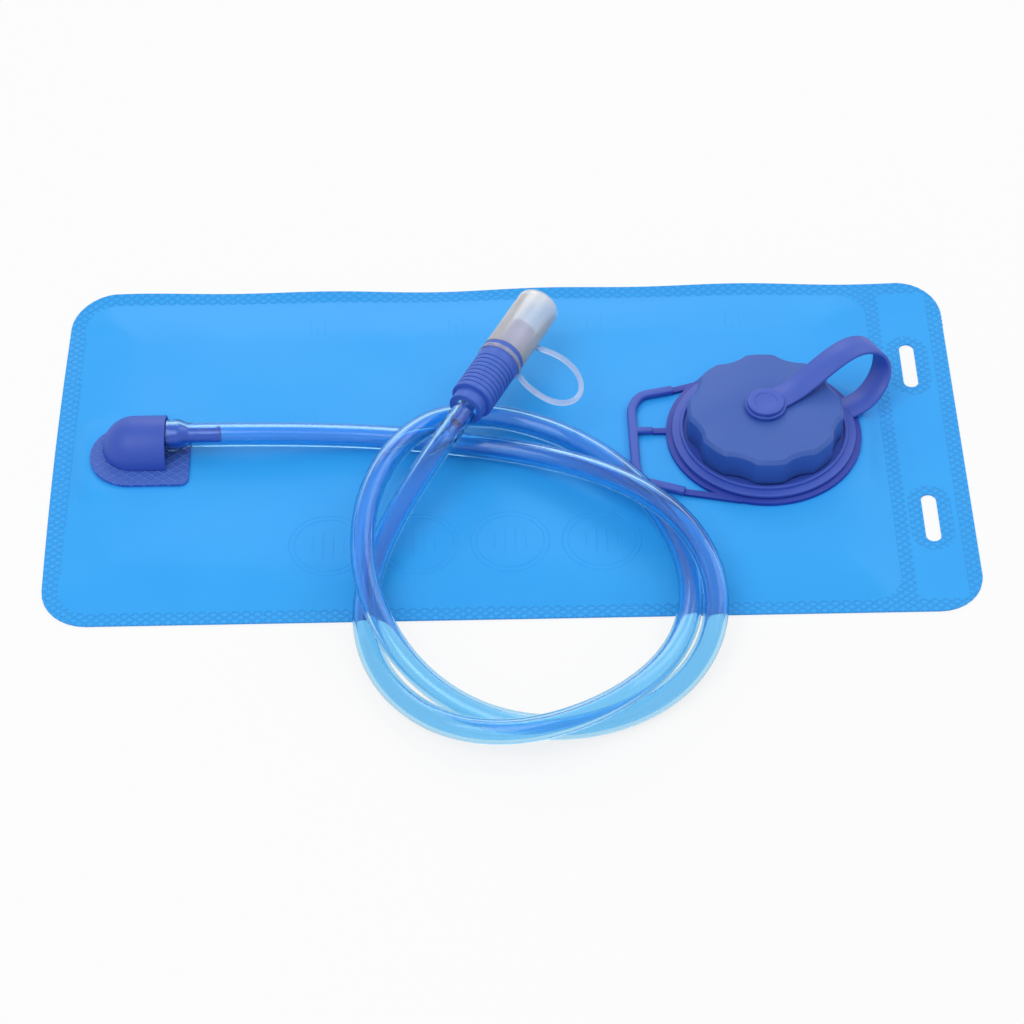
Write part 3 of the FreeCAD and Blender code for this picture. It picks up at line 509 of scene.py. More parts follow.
@dataclass
class WeldedBag:
    """Two films welded round the rim, across the seam and round both hanging slots."""

    finishes: Finishes
    length: float
    width: float
    top: float
    corner: float = 18 * MM
    chamber_corner: float = 12 * MM
    tab_corner: float = 2 * MM
    weld: float = 6 * MM
    slope: float = 24 * MM         # how gently the film rises from its weld
    steep: float = 8 * MM          # and beside a fitting that holds it up
    film: float = 0.4 * MM
    tab: float = 25.6 * MM
    seam: float = 5.6 * MM
    slot_inset: float = 16.4 * MM
    slot_spacing: float = 84.4 * MM
    slot_half: tuple[float, float] = (3 * MM, 12.5 * MM)
    oval_half: tuple[float, float] = (8.5 * MM, 17 * MM)
    fill_hole: float = 27.8 * MM   # radius, hidden by the flange
    plate_x: float = -147 * MM
    plate_y: float = -6 * MM
    exit_y: float = -2.6 * MM      # where the hose leaves the port
    grid: float = 2.4 * MM
    lift: float = 3 * MM           # how far the far edge curls up
    end_bow: float = 1.3 * MM      # how far the slotless end bulges out
    slack: float = 1.3 * MM        # depth of the film's broad waves
    ripple: float = 0.25 * MM      # and of its small ones
    broad_waves: tuple[float, float] = (16.0, 26.0)     # per metre, along and across
    small_waves: tuple[float, float] = (45.0, 60.0)

    def inside(self, x: np.ndarray, y: np.ndarray) -> np.ndarray:
        """Distance inside the chamber's boundary, negative outside it.

        Args:
            x: places along the bag.
            y: places across it.

        Returns:
            The distances.
        """
        x0 = -self.length / 2 + self.weld
        x1 = self.length / 2 - self.tab - self.seam
        radius = self.chamber_corner
        middle = (x0 + x1) / 2
        dx = np.abs(x - middle) - ((x1 - x0) / 2 - radius)
        dy = np.abs(y) - (self.width / 2 - self.weld - radius)
        outer = np.hypot(np.maximum(dx, 0), np.maximum(dy, 0)) + np.minimum(np.maximum(dx, dy), 0)
        return radius - outer

    def height(self, x: np.ndarray, y: np.ndarray) -> np.ndarray:
        """Top of the front film over the floor.

        Args:
            x: places along the bag.
            y: places across it.

        Returns:
            The heights.
        """
        edge = self.inside(x, y)
        share = np.clip(edge / self.slope, 0, 1)
        rise = share * (2 - share)
        near = np.clip(edge / self.steep, 0, 1)
        rise = np.maximum(rise, near * near * (3 - 2 * near) * self.held(x, y))
        sag = self.sag(x, y) * np.clip(edge / (16 * MM), 0, 1)
        return 2 * self.film + (self.top - 2 * self.film) * rise - sag

    def sag(self, x: np.ndarray, y: np.ndarray) -> np.ndarray:
        """How far the slack film sinks between the fittings that hold it up.

        Args:
            x: places along the bag.
            y: places across it.

        Returns:
            Depths, never negative.
        """
        fx, fy = self.broad_waves
        waves = np.array([noise.noise(Vector((a * fx, b * fy, 0.3))) for a, b in zip(x, y)])
        fx, fy = self.small_waves
        small = np.array([noise.noise(Vector((a * fx, b * fy, 2.0))) for a, b in zip(x, y)])
        depth = self.slack * (0.5 + 0.5 * waves) + self.ripple * (0.5 + 0.5 * small)
        port = np.hypot(x - FILL_PORT_X, y)
        plate = np.hypot(x - self.plate_x, y - self.exit_y)
        away = np.clip((port - 44 * MM) / (25 * MM), 0, 1)
        away = away * np.clip((plate - 24 * MM) / (20 * MM), 0, 1)
        return depth * away

    def held(self, x: np.ndarray, y: np.ndarray) -> np.ndarray:
        """Where a fitting holds the film at its full height.

        Args:
            x: places along the bag.
            y: places across it.

        Returns:
            1 under a fitting, falling to 0 away from it.
        """
        port = np.hypot(x - FILL_PORT_X, y)
        plate = np.hypot(x - self.plate_x, y - self.plate_y)
        return np.maximum(np.clip((56 * MM - port) / (14 * MM), 0, 1),
                          np.clip((36 * MM - plate) / (12 * MM), 0, 1))

    def curl(self, x: np.ndarray, y: np.ndarray) -> np.ndarray:
        """Lift of the whole bag at its far edge.

        Args:
            x: places along the bag.
            y: places across it.

        Returns:
            The lifts.
        """
        start = 0.72
        far = np.clip((y / (self.width / 2) - start) / (1 - start), 0, 1)
        wave = 0.62 + 0.38 * np.sin(x / (19 * MM)) * np.cos(x / (47 * MM) + 0.6)
        return self.lift * far ** 2 * wave

    def region(self, x: float, y: float) -> int:
        """Material number of a place: 1 where the films are welded, 0 elsewhere.

        Args:
            x: place along the bag.
            y: place across it.

        Returns:
            0 or 1.
        """
        if any(oval.holds(x, y) for oval in self.slots(self.oval_half, 48)):
            return 1
        seam = self.length / 2 - self.tab
        rim = abs(y) > self.width / 2 - self.weld or x > self.length / 2 - self.weld
        if rim or seam - self.seam < x < seam:
            return 1
        if x < seam and float(self.inside(np.array([x]), np.array([y]))[0]) < 0:
            return 1
        return 0

    def slots(self, half: tuple[float, float], count: int) -> list[RoundEnded]:
        """Outlines round the two hanging slots.

        Args:
            half: half width and half length.
            count: points of each.

        Returns:
            The outlines.
        """
        x = self.length / 2 - self.slot_inset
        return [RoundEnded(x, side * self.slot_spacing / 2, *half, count) for side in (-1, 1)]

    def sheet(self, name: str, holes: list[RoundEnded], front: bool) -> bpy.types.Object:
        """Make one film.

        Args:
            name: the piece's name.
            holes: outlines cut through the film.
            front: whether it is the raised front film.

        Returns:
            The film.
        """
        seam = self.length / 2 - self.tab
        loops = [rounded_loop(-self.length / 2, self.length / 2, self.width / 2, self.corner,
                              self.grid)]
        loops += [hole.loop() for hole in holes]
        loops.append(rounded_loop(-self.length / 2 + self.weld, seam - self.seam,
                                  self.width / 2 - self.weld, self.chamber_corner, self.grid))
        loops.append(rounded_loop(seam, self.length / 2 - self.weld, self.width / 2 - self.weld,
                                  self.tab_corner, self.grid))
        loops += [oval.loop() for oval in self.slots(self.oval_half, 48)]
        points: list[Vector] = []
        edges: list[tuple[int, int]] = []
        for loop in loops:
            first = len(points)
            points += [Vector(point) for point in loop]
            count = len(loop)
            edges += [(first + index, first + (index + 1) % count) for index in range(count)]
        for gx in np.arange(-self.length / 2 + self.grid, self.length / 2, self.grid):
            for gy in np.arange(-self.width / 2 + self.grid, self.width / 2, self.grid):
                points.append(Vector((float(gx), float(gy))))
        verts, _, faces, _, _, _ = delaunay_2d_cdt(points, edges, [], 0, SAME_POINT)
        flat = np.array([(v.x, v.y) for v in verts])
        keep = [face for face in faces if self.kept(flat[list(face)].mean(axis=0), holes)]
        x = flat[:, 0]
        y = flat[:, 1]
        z = self.height(x, y) if front else np.full(len(x), self.film)
        z = z + self.curl(x, y)
        bow = self.end_bow * np.cos(np.pi * y / self.width) * np.clip(-2 * x / self.length, 0, 1) ** 6
        mesh = bpy.data.meshes.new(name)
        mesh.from_pydata(np.column_stack((x - bow, y, z)).tolist(), [], keep)
        work = bmesh.new()
        work.from_mesh(mesh)
        bmesh.ops.delete(work, geom=[v for v in work.verts if not v.link_faces], context="VERTS")
        for face in work.faces:
            middle = face.calc_center_median()
            face.material_index = self.region(middle.x, middle.y)
        work.to_mesh(mesh)
        work.free()
        mesh.materials.append(self.finishes.film)
        mesh.materials.append(self.finishes.weld)
        piece = mesh_object(name, mesh)
        wall = piece.modifiers.new("wall", "SOLIDIFY")
        wall.thickness = self.film
        wall.offset = -1.0
        applied(piece)
        smooth(piece.data, math.radians(50))
        LOG.info("%s: %d faces", name, len(piece.data.polygons))
        return piece

    def kept(self, middle: np.ndarray, holes: list[RoundEnded]) -> bool:
        """Whether a triangle is in the rim's outline and in no hole.

        Args:
            middle: the triangle's middle.
            holes: the holes' outlines.

        Returns:
            True where there is film.
        """
        dx = abs(middle[0]) - (self.length / 2 - self.corner)
        dy = abs(middle[1]) - (self.width / 2 - self.corner)
        if dx > 0 and dy > 0 and math.hypot(dx, dy) > self.corner:
            return False
        return not any(hole.holds(middle[0], middle[1], hole.sagitta()) for hole in holes)

    def build(self) -> None:
        """Make both films and put them on the bag."""
        slots = self.slots(self.slot_half, 32)
        port = RoundEnded(FILL_PORT_X, 0, self.fill_hole, self.fill_hole, 64)
        front = self.sheet("front_film_sheet", slots + [port], True)
        back = self.sheet("back_film_sheet", slots, False)
        for piece, nodes in ((front, ("front_film", "hanging_tab")), (back, ("back_film",))):
            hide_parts(*nodes)
            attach(piece, Layout.BAG.value)


@dataclass
class EmbossedMarks:
    """Plain round badges and level ticks pressed up out of the front film, in repeated rows."""

    finishes: Finishes
    bag: WeldedBag
    badge_start: tuple[float, float] = (-71 * MM, -54 * MM)
    badge_pitch: float = 35.2 * MM
    badge_radius: float = 15.2 * MM
    tick_start: tuple[float, float] = (-81 * MM, 62 * MM)
    tick_pitch: float = 57 * MM
    line: float = 0.25 * MM        # radius of a pressed line
    sunk: float = -0.12 * MM       # its middle under the film's top

    def tree(self, name: str, shape: str) -> bpy.types.GeometryNodeTree:
        """Geometry Nodes that repeat one mark along the bag.

        Args:
            name: the tree's name.
            shape: "ring" or "bar".

        Returns:
            The tree.
        """
        tree = bpy.data.node_groups.new(name, "GeometryNodeTree")
        face = tree.interface
        face.new_socket("Geometry", in_out="OUTPUT", socket_type="NodeSocketGeometry")
        for label in ("Count", "Pitch", "Size", "Line"):
            kind = "NodeSocketInt" if label == "Count" else "NodeSocketFloat"
            face.new_socket(label, in_out="INPUT", socket_type=kind)
        face.new_socket("Start", in_out="INPUT", socket_type="NodeSocketVector")
        face.new_socket("Material", in_out="INPUT", socket_type="NodeSocketMaterial")
        given = add(tree, "NodeGroupInput").outputs
        step = add(tree, "ShaderNodeCombineXYZ", {"X": given["Pitch"]})
        row = add(tree, "GeometryNodeMeshLine",
                  {"Count": given["Count"], "Start Location": given["Start"],
                   "Offset": step.outputs["Vector"]}, mode="OFFSET")
        profile = add(tree, "GeometryNodeCurvePrimitiveCircle", {"Radius": given["Line"]},
                      {"Resolution": 8})
        if shape == "ring":
            line = add(tree, "GeometryNodeCurvePrimitiveCircle", {"Radius": given["Size"]},
                       {"Resolution": 72})
        else:
            end = add(tree, "ShaderNodeCombineXYZ", {"Y": given["Size"]})
            line = add(tree, "GeometryNodeCurvePrimitiveLine", {"End": end.outputs["Vector"]})
        solid = add(tree, "GeometryNodeCurveToMesh",
                    {"Curve": line.outputs["Curve"], "Profile Curve": profile.outputs["Curve"]},
                    {"Fill Caps": True})
        copies = add(tree, "GeometryNodeInstanceOnPoints",
                     {"Points": row.outputs["Mesh"], "Instance": solid.outputs["Mesh"]})
        real = add(tree, "GeometryNodeRealizeInstances", {"Geometry": copies.outputs["Instances"]})
        done = add(tree, "GeometryNodeSetMaterial",
                   {"Geometry": real.outputs["Geometry"], "Material": given["Material"]})
        add(tree, "NodeGroupOutput", {"Geometry": done.outputs["Geometry"]})
        return tree

    def row(self, name: str, tree: bpy.types.GeometryNodeTree, values: dict[str, object]) -> None:
        """Make one row of marks as a plain mesh laid on the film.

        Args:
            name: the piece's name.
            tree: the row's tree.
            values: the tree's inputs by name.
        """
        piece = mesh_object(name, bpy.data.meshes.new(name))
        nodes = piece.modifiers.new("repeat", "NODES")
        nodes.node_group = tree
        for item in tree.interface.items_tree:
            if item.in_out == "INPUT":
                nodes[item.identifier] = values[item.name]
        applied(piece)
        mesh = piece.data
        co = np.empty(len(mesh.vertices) * 3)
        mesh.vertices.foreach_get("co", co)
        co = co.reshape(-1, 3)
        x, y = co[:, 0], co[:, 1]
        co[:, 2] += self.bag.height(x, y) + self.bag.curl(x, y)
        mesh.vertices.foreach_set("co", co.ravel())
        mesh.update()
        smooth(mesh, math.radians(60))
        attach(piece, Layout.BAG.value)
        LOG.info("%s: %d faces", name, len(mesh.polygons))

    def build(self) -> None:
        """Make the badges and the ticks."""
        rings = self.tree("badge_rings", "ring")
        bars = self.tree("level_ticks", "bar")
        film = self.finishes.film
        x, y = self.badge_start
        for index, share in enumerate((1.0, 0.86)):
            self.row("badge_rings_%d" % index, rings,
                     {"Count": 4, "Pitch": self.badge_pitch, "Size": self.badge_radius * share,
                      "Line": 0.28 * MM, "Start": (x, y, -0.14 * MM), "Material": film})
        for index, shift in enumerate((-6.0, -2.0, 2.0, 6.0)):
            self.row("badge_bars_%d" % index, bars,
                     {"Count": 4, "Pitch": self.badge_pitch, "Size": 14 * MM - abs(shift) * MM,
                      "Line": self.line,
                      "Start": (x + shift * MM, y - 7 * MM + abs(shift) * MM / 2, self.sunk),
                      "Material": film})
        x, y = self.tick_start
        for index, (shift, size) in enumerate(((0.0, 9.0), (3.0, 5.0), (6.0, 9.0))):
            self.row("level_ticks_%d" % index, bars,
                     {"Count": 4, "Pitch": self.tick_pitch, "Size": size * MM, "Line": self.line,
                      "Start": (x + shift * MM, y, self.sunk), "Material": film})


def smooth_line(name: str, route: list[tuple[float, float, float]], resolution: int) -> np.ndarray:
    """Points read from the smooth curve that a route controls.

    Args:
        name: the curve's name.
        route: its control points, in metres.
        resolution: samples for each control point.

    Returns:
        The points.
    """
    curve = bpy.data.curves.new(name, "CURVE")
    curve.dimensions = "3D"
    spline = curve.splines.new("NURBS")
    spline.points.add(len(route) - 1)
    for point, place in zip(spline.points, route):
        point.co = (*place, 1.0)
    spline.order_u = 3
    spline.use_endpoint_u = True
    spline.resolution_u = resolution
    holder = bpy.data.objects.new(name, curve)
    bpy.context.scene.collection.objects.link(holder)
    bpy.context.view_layer.update()
    graph = bpy.context.evaluated_depsgraph_get()
    line = bpy.data.meshes.new_from_object(holder.evaluated_get(graph))
    points = np.array([v.co[:] for v in line.vertices])
    bpy.data.objects.remove(holder)
    bpy.data.meshes.remove(line)
    keep = np.concatenate(([True], np.linalg.norm(np.diff(points, axis=0), axis=1) > SAME_POINT))
    return points[keep]


@dataclass
class DrinkingHose:
    """Clear blue hose: a hollow tube that follows one smooth curve through its route."""

    material: bpy.types.Material
    outer: float = 4.75 * MM
    inner: float = 3.175 * MM
    bell: float = 6.2 * MM
    bell_length: float = 4.6 * MM
    bell_taper: float = 3.6 * MM
    length: float = 0.985
    around: int = 28
    dented_head: float = 16 * MM   # length of the dented stretch at the connector
    dented_tail: float = 26 * MM   # and at the mouthpiece
    head_dent: float = 0.2 * MM    # depth of the dents
    tail_dent: float = 0.42 * MM
    fine: float = 0.8 * MM         # spacing of the rings there

    ROUTE = (
        (-135.2, -2.6, 13.7),
        (-127.0, -2.6, 13.7), (-113.5, -2.6, 13.7), (-98.7, -2.3, 13.1), (-82.7, -1.9, 12.2),
        (-65.7, -1.9, 11.2), (-47.9, -2.8, 10.4), (-29.8, -4.9, 10.0), (-11.8, -8.4, 10.4),
        (5.7, -13.7, 11.8), (22.3, -21.3, 14.0), (37.5, -30.9, 16.7), (51.1, -42.3, 19.1),
        (62.4, -55.1, 20.2), (70.8, -68.8, 19.2), (75.7, -83.0, 16.4), (76.5, -97.2, 12.6),
        (73.1, -110.7, 9.1), (65.8, -123.1, 6.6), (55.1, -133.6, 5.2), (41.7, -141.5, 4.8),
        (26.3, -146.1, 4.8), (10.0, -146.9, 4.8), (-6.4, -143.5, 5.1), (-21.8, -135.8, 6.3),
        (-35.4, -124.3, 8.8), (-46.3, -109.6, 12.4), (-53.7, -92.3, 16.6), (-57.1, -73.5, 20.5),
        (-56.2, -54.2, 23.1), (-51.3, -35.6, 24.2), (-43.3, -19.2, 23.5), (-33.0, -6.0, 21.0),
        (-21.0, 2.6, 16.8), (-7.5, 6.0, 12.9), (6.9, 4.0, 10.7), (21.6, -2.9, 10.1),
        (35.8, -14.9, 11.0), (48.4, -30.2, 11.9), (58.7, -45.8, 10.5), (65.4, -63.9, 10.1),
        (67.8, -82.7, 10.3), (65.8, -100.9, 11.1), (59.3, -117.7, 12.5), (49.1, -132.0, 14.0),
        (36.0, -143.1, 14.7), (21.0, -150.5, 14.0), (5.2, -153.5, 12.0), (-10.4, -152.1, 9.4),
        (-24.9, -146.5, 7.1), (-37.3, -137.2, 5.5), (-47.1, -125.0, 4.8), (-53.6, -110.8, 4.8),
        (-56.4, -95.6, 5.9), (-55.4, -80.1, 8.7), (-50.8, -64.9, 13.6), (-43.2, -50.2, 19.7),
        (-34.0, -35.8, 25.5), (-24.9, -21.3, 29.0), (-17.1, -6.2, 29.0)
    )

    def radius(self, along: np.ndarray, plain: float) -> np.ndarray:
        """Radius along the hose, stretched over the connector at its start.

        Args:
            along: distances from the start.
            plain: the radius away from the stretched end.

        Returns:
            The radii.
        """
        share = np.clip((along - self.bell_length) / self.bell_taper, 0, 1)
        return plain + (self.bell - self.outer) * (1 - share)

    def crumple(self, along: np.ndarray, angles: np.ndarray) -> np.ndarray:
        """Small dents where the hose is squeezed over the barbs at its two ends.

        Args:
            along: distances from the start.
            angles: places round the hose.

        Returns:
            Change of radius at each distance and angle.
        """
        depth = np.zeros((len(along), len(angles)))
        for row, place in enumerate(along):
            tail = np.clip((place - along[-1] + self.dented_tail) / (8 * MM), 0, 1)
            head = np.clip((self.dented_head - place) / (6 * MM), 0, 1)
            strength = self.tail_dent * tail + self.head_dent * head
            if strength > 0:
                for col, angle in enumerate(angles):
                    spot = Vector((1.6 * math.cos(angle), 1.6 * math.sin(angle), place / (3.2 * MM)))
                    depth[row, col] = strength * noise.noise(spot)
        return depth

    def build(self, riders: list[bpy.types.Object]) -> bpy.types.Object:
        """Args:
            riders: pieces on the hose; not used.

        Returns:
            The hose.
        """
        points = smooth_line("hose_route", [tuple(c * MM for c in p) for p in self.ROUTE], 8)
        along = np.concatenate(([0.0], np.cumsum(np.linalg.norm(np.diff(points, axis=0), axis=1))))
        ends = np.concatenate(([self.bell_length, self.bell_length + self.bell_taper],
                               np.arange(self.fine, self.dented_head, self.fine),
                               np.arange(along[-1] - 32 * self.fine, along[-1], self.fine)))
        extra = np.array([[np.interp(s, along, points[:, axis]) for axis in range(3)] for s in ends])
        order = np.argsort(np.concatenate((along, ends)), kind="stable")
        points = np.concatenate((points, extra))[order]
        along = np.concatenate((along, ends))[order]
        tangent = np.gradient(points, along, axis=0)
        tangent /= np.linalg.norm(tangent, axis=1)[:, None]
        side = np.zeros_like(points)
        here = np.array([0.0, 0.0, 1.0])
        for index, heading in enumerate(tangent):
            here = here - heading * (here @ heading)
            here /= np.linalg.norm(here)
            side[index] = here
        other = np.cross(tangent, side)
        angles = 2 * np.pi * np.arange(self.around) / self.around
        wheel = np.cos(angles)[None, :, None] * side[:, None]
        wheel = wheel + np.sin(angles)[None, :, None] * other[:, None]
        outer = self.radius(along, self.outer)[:, None] + self.crumple(along, angles)
        outside = points[:, None] + wheel * outer[:, :, None]
        inside = points[:, None] + wheel * self.radius(along, self.inner)[:, None, None]
        count = len(points)
        total = count * self.around
        vertices = np.concatenate((outside.reshape(-1, 3), inside.reshape(-1, 3)))
        faces = []
        for row in range(count - 1):
            for col in range(self.around):
                after = (col + 1) % self.around
                a, b = row * self.around + col, row * self.around + after
                c, d = b + self.around, a + self.around
                faces.append((a, b, c, d))
                faces.append((total + d, total + c, total + b, total + a))
        last = (count - 1) * self.around
        for col in range(self.around):
            after = (col + 1) % self.around
            faces.append((col, total + col, total + after, after))
            faces.append((last + after, total + last + after, total + last + col, last + col))
        mesh = bpy.data.meshes.new("drinking_hose")
        mesh.from_pydata(vertices.tolist(), [], faces)
        work = bmesh.new()
        work.from_mesh(mesh)
        bmesh.ops.recalc_face_normals(work, faces=work.faces)
        work.to_mesh(mesh)
        work.free()
        mesh.materials.append(self.material)
        piece = mesh_object("drinking_hose", mesh)
        smooth(mesh, math.radians(45))
        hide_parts("hose")
        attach(piece, Layout.BAG.value)
        LOG.info("drinking_hose: %.3f m along its curve, %d faces", along[-1], len(faces))
        return piece


@dataclass
class Studio:
    """White floor, broad soft lights and the camera."""

    lens: float = 108.47
    distance: float = 1207.5 * MM
    pitch: float = math.radians(47.254)
    swing: float = math.radians(0.441)
    roll: float = math.radians(-0.716)
    target: tuple[float, float, float] = (0.311 * MM, -34.57 * MM, 0.0)
    floor_glow: float = 0.8        # share of plain white in the floor that is seen
    sky_light: float = 0.6         # strength of the sky where it only gives light

    def camera(self) -> None:
        """Place the camera."""
        data = bpy.data.cameras.new("camera")
        data.lens = self.lens
        data.sensor_width = 36.0
        data.clip_start = 0.01
        camera = bpy.data.objects.new("camera", data)
        bpy.context.scene.collection.objects.link(camera)
        forward = Vector((math.sin(self.swing) * math.cos(self.pitch),
                          math.cos(self.swing) * math.cos(self.pitch), -math.sin(self.pitch)))
        right = forward.cross(Vector((0, 0, 1))).normalized()
        up = right.cross(forward)
        tilted = right * math.cos(self.roll) + up * math.sin(self.roll)
        upright = up * math.cos(self.roll) - right * math.sin(self.roll)
        turn = Matrix((tilted, upright, -forward)).transposed().to_4x4()
        camera.matrix_world = Matrix.Translation(Vector(self.target) - forward * self.distance) @ turn
        bpy.context.scene.camera = camera

    def floor(self) -> None:
        """Lay the floor, white where the camera sees it, with the object's soft shadow."""
        mesh = bpy.data.meshes.new("floor")
        half = 3.0
        mesh.from_pydata([(-half, -half, 0), (half, -half, 0), (half, half, 0), (-half, half, 0)],
                         [], [(0, 1, 2, 3)])
        material, tree = new_material("painted_floor_white")
        paint = add(tree, "ShaderNodeBsdfDiffuse", values={"Color": (0.9, 0.9, 0.9, 1)})
        glow = add(tree, "ShaderNodeEmission", values={"Color": (1, 1, 1, 1), "Strength": 1.0})
        share = add(tree, "ShaderNodeMath", {0: direct_sight(tree)}, {1: self.floor_glow},
                    operation="MULTIPLY")
        mix = add(tree, "ShaderNodeMixShader",
                  {0: share.outputs["Value"], 1: paint.outputs["BSDF"], 2: glow.outputs["Emission"]})
        add(tree, "ShaderNodeOutputMaterial", {"Surface": mix.outputs["Shader"]})
        mesh.materials.append(material)
        floor = mesh_object("floor", mesh)
        floor.location.z = -0.05 * MM

    def light(self, name: str, place: tuple[float, float, float], size: float, power: float) -> None:
        """Add one broad soft light aimed at the object.

        Args:
            name: the light's name.
            place: where it hangs.
            size: its side.
            power: its power in watts.
        """
        data = bpy.data.lights.new(name, "AREA")
        data.size = size
        data.energy = power
        lamp = bpy.data.objects.new(name, data)
        bpy.context.scene.collection.objects.link(lamp)
        lamp.location = place
        aim = Vector((0, -0.02, 0)) - Vector(place)
        lamp.rotation_euler = aim.to_track_quat("-Z", "Y").to_euler()

    def build(self) -> None:
        """Set up the world, the lights, the floor and the camera."""
        scene = bpy.context.scene
        scene.view_settings.view_transform = "Standard"
        world = bpy.data.worlds.new("studio")
        scene.world = world
        world.use_nodes = True
        sky = world.node_tree.nodes["Background"]
        sky.inputs["Color"].default_value = (1, 1, 1, 1)
        tree = world.node_tree
        level = add(tree, "ShaderNodeMapRange", {"Value": direct_sight(tree)},
                    {"To Min": self.sky_light, "To Max": 1.0})
        tree.links.new(level.outputs["Result"], sky.inputs["Strength"])
        self.light("key", (-0.5, -0.5, 1.3), 0.9, 6.5)
        self.light("fill", (0.9, 0.5, 1.1), 0.8, 3.4)
        self.light("back", (-0.1, 1.2, 0.8), 0.6, 2.6)
        self.floor()
        self.camera()


def bridge(work: bmesh.types.BMesh, here: list[bmesh.types.BMVert],
           ahead: list[bmesh.types.BMVert]) -> None:
    """Join two closed outlines with a band of faces.

    Args:
        work: the mesh.
        here: corners of one outline.
        ahead: the matching corners of the next.
    """
    for side in range(len(here)):
        after = (side + 1) % len(here)
        work.faces.new((here[side], ahead[side], ahead[after], here[after]))


@dataclass
class CapTether:
    """Soft strap that keeps the cap: a lipped ring on the neck, a curved strap and an eye."""

    material: bpy.types.Material
    ring_outer: float = 36.5 * MM
    ring_bore: float = 28.3 * MM
    ring_thick: float = 1.5 * MM
    lip_outer: float = 33.4 * MM
    lip_width: float = 1.5 * MM
    lip_rise: float = 1.3 * MM
    eye_outer: float = 8.2 * MM
    eye_bore: float = 4.9 * MM
    strap_width: float = 11 * MM
    strap_thick: float = 1.6 * MM
    soft: float = 0.35 * MM        # round on every edge
    eye_gap: float = 0.15 * MM     # cap's top to the eye

    # past the ring's edge in mm, share of the climb from ring to eye, azimuth in degrees
    STATIONS = ((-1.5, 0.0, 18.0), (4.5, 0.011, 19.5), (10.5, 0.116, 22.0), (16.0, 0.384, 25.0),
                (19.1, 0.757, 28.0), (18.1, 1.158, 30.5), (13.5, 1.454, 32.0), (7.0, 1.595, 33.0),
                (-0.5, 1.567, 33.0), (-8.0, 1.398, 33.0), (-15.0, 1.2, 33.0), (-21.5, 1.045, 33.0),
                (-27.5, 1.0, 33.0), (-30.5, 1.0, 33.0))

    def lathe(self, work: bmesh.types.BMesh, profile: list[tuple[float, float]]) -> None:
        """Turn a closed profile about the port's axis.

        Args:
            work: the mesh to add to.
            profile: radius and height of each corner.
        """
        count = 96
        rows = []
        for index in range(count):
            angle = 2 * math.pi * index / count
            rows.append([work.verts.new((FILL_PORT_X + r * math.cos(angle), r * math.sin(angle), z))
                         for r, z in profile])
        for here, ahead in zip(rows, rows[1:] + rows[:1]):
            bridge(work, here, ahead)

    def rounded(self, r0: float, r1: float, z0: float, z1: float) -> list[tuple[float, float]]:
        """Profile of a ring with soft edges.

        Args:
            r0: bore radius.
            r1: outer radius.
            z0: bottom.
            z1: top.

        Returns:
            The profile's corners.
        """
        s = self.soft
        cut = 0.3 * s                  # how far the round's middle is in from its corner
        return [(r0 + s, z0), (r1 - s, z0), (r1 - cut, z0 + cut), (r1, z0 + s),
                (r1, z1 - s), (r1 - cut, z1 - cut), (r1 - s, z1), (r0 + s, z1),
                (r0 + cut, z1 - cut), (r0, z1 - s), (r0, z0 + s), (r0 + cut, z0 + cut)]

    def strap_line(self, low: float, climb: float) -> np.ndarray:
        """Middle line of the strap, read from a smooth curve through its stations.

        Args:
            low: height of the ring's middle.
            climb: height from there to the eye's middle.

        Returns:
            The points.
        """
        points = []
        for past, share, azimuth in self.STATIONS:
            reach = self.ring_outer + past * MM
            angle = math.radians(azimuth)
            points.append((FILL_PORT_X + reach * math.cos(angle), reach * math.sin(angle),
                           low + share * climb))
        return smooth_line("strap_line", points, 6)

    def build(self) -> bpy.types.Object:
        """Make the tether as a fixed piece reaching from the bag to the cap.

        Returns:
            The piece.
        """
        ring_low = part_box("cap_tether")[0][2]
        eye_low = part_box("fill_cap")[1][2] + self.eye_gap
        ring_top = ring_low + self.ring_thick
        work = bmesh.new()
        self.lathe(work, self.rounded(self.ring_bore, self.ring_outer, ring_low, ring_top))
        self.lathe(work, self.rounded(self.lip_outer - self.lip_width, self.lip_outer,
                                      ring_low + self.soft, ring_top + self.lip_rise))
        self.lathe(work, self.rounded(self.eye_bore, self.eye_outer, eye_low,
                                      eye_low + self.strap_thick))
        low = ring_low + self.ring_thick / 2
        line = self.strap_line(low, eye_low + self.strap_thick / 2 - low)
        heading = np.gradient(line, axis=0)
        heading /= np.linalg.norm(heading, axis=1)[:, None]
        half = np.array([self.strap_width, self.strap_thick]) / 2
        s = self.soft
        outline = [(half[0] - s, half[1]), (s - half[0], half[1]), (-half[0], half[1] - s),
                   (-half[0], s - half[1]), (s - half[0], -half[1]), (half[0] - s, -half[1]),
                   (half[0], s - half[1]), (half[0], half[1] - s)]
        rows = []
        for point, along in zip(line, heading):
            out = math.atan2(point[1], point[0] - FILL_PORT_X)
            across = np.array([-math.sin(out), math.cos(out), 0.0])
            across -= along * (across @ along)
            across /= np.linalg.norm(across)
            normal = np.cross(along, across)
            rows.append([work.verts.new(point + across * a + normal * b) for a, b in outline])
        for here, ahead in zip(rows, rows[1:]):
            bridge(work, here, ahead)
        work.faces.new(rows[0])
        work.faces.new(rows[-1][::-1])
        bmesh.ops.recalc_face_normals(work, faces=work.faces)
        mesh = bpy.data.meshes.new("cap_tether_strap")
        work.to_mesh(mesh)
        work.free()
        mesh.materials.append(self.material)
        smooth(mesh, math.radians(50))
        piece = mesh_object("cap_tether_strap", mesh)
        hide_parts("cap_tether")
        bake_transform(piece)
        LOG.info("cap_tether_strap: %d faces", len(mesh.polygons))
        return piece


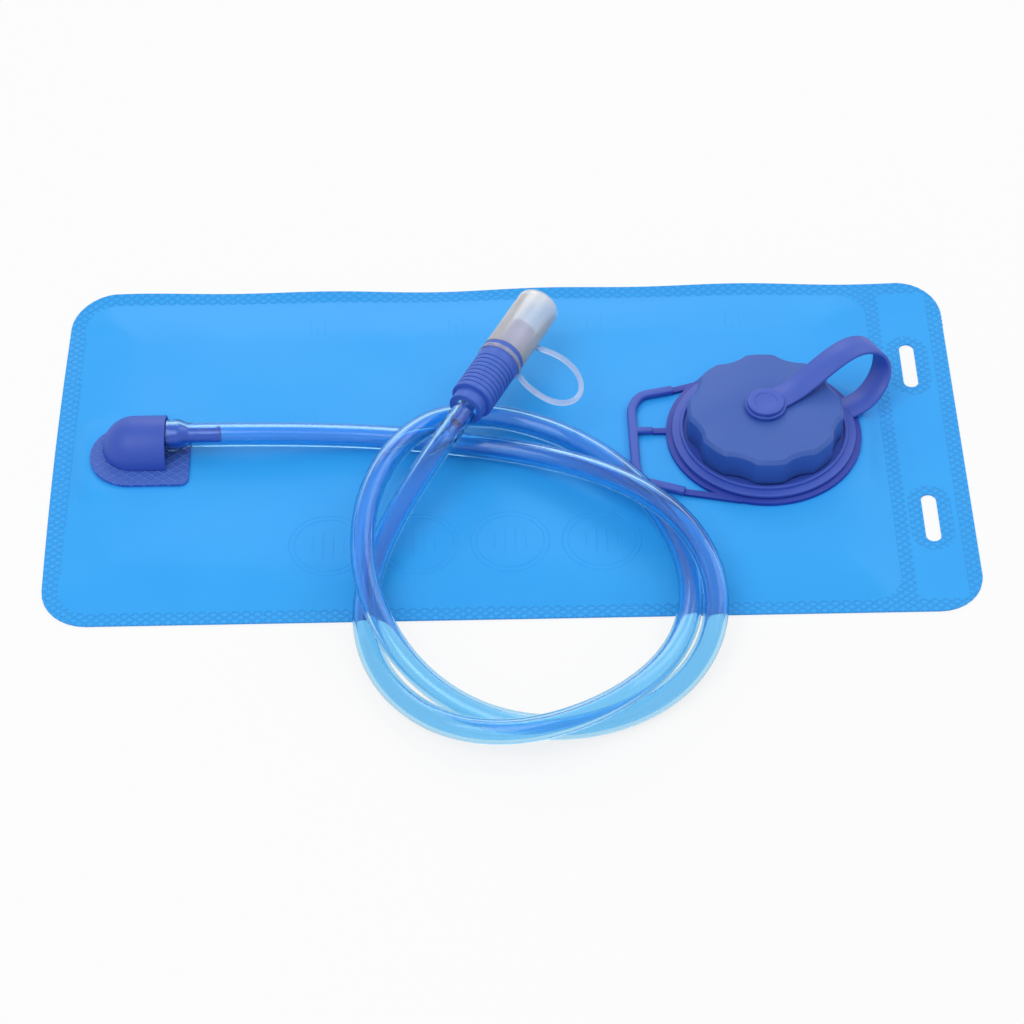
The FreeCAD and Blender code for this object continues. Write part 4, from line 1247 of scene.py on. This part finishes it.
def dress_tether(node: str,
                 material: bpy.types.Material) -> bpy.types.Object:
    """Copy a tether's CAD shape as a fixed, smooth-shaded piece between the two bodies it joins.

    Args:
        node: the tether's node.
        material: its finish.

    Returns:
        The piece.
    """
    piece = cad_copy(node, material, flatten=False)
    smooth(piece.data, MOULD_SHARP)
    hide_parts(node)
    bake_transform(piece)
    LOG.info("tether %s: %d faces", node, len(piece.data.polygons))
    return piece


def main() -> None:
    """Build every sub-assembly in order."""
    finishes = Finishes()
    low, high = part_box("back_film")
    bag = WeldedBag(finishes, high[0] - low[0], high[1] - low[1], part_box("front_film")[1][2])
    bag.build()
    EmbossedMarks(finishes, bag).build()
    made: dict[str, bpy.types.Object] = {}
    for node, layout, material, edge in (
            ("fill_neck", Layout.BAG, finishes.flange, 0.3 * MM),
            ("grip_bow", Layout.BAG, finishes.strap, 0.7 * MM),
            ("fill_cap", Layout.FILL_CAP, finishes.cap, 0.5 * MM),
            ("tether_button", Layout.FILL_CAP, finishes.strap, 0.15 * MM),
            ("cap_gasket", Layout.FILL_CAP, finishes.seal, 0.1 * MM),
            ("port_plate", Layout.BAG, finishes.plate, 0.4 * MM),
            ("port_cowl", Layout.BAG, finishes.port, 0.3 * MM),
            ("hose_connector", Layout.BAG, finishes.spigot, 0.0),
            ("connector_o_ring", Layout.BAG, finishes.seal, 0.0),
            ("valve_stem", Layout.BAG, finishes.valve, 0.15 * MM),
            ("stem_o_rings", Layout.BAG, finishes.seal, 0.0),
            ("valve_sleeve", Layout.SLEEVE, finishes.valve, 0.12 * MM),
            ("bite_tip", Layout.SLEEVE, finishes.tip, 0.2 * MM),
            ("dust_cap_ring", Layout.SLEEVE, finishes.cord, 0.15 * MM),
            ("dust_cap", Layout.DUST_CAP, finishes.clear, 0.15 * MM)):
        made[node] = MouldedPiece(node, layout, material, edge).build()
    CapTether(finishes.strap).build()
    loop = dress_tether("dust_cap_tether",
                        finishes.cord)
    riders = [made[name] for name in ("valve_stem", "stem_o_rings", "valve_sleeve", "bite_tip",
                                      "dust_cap", "dust_cap_ring")]
    DrinkingHose(finishes.hose).build(riders + [loop])
    Studio().build()


if __name__ == "__main__":
    logging.basicConfig(level=logging.INFO, format="%(name)s %(message)s")
    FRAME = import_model()
    main()
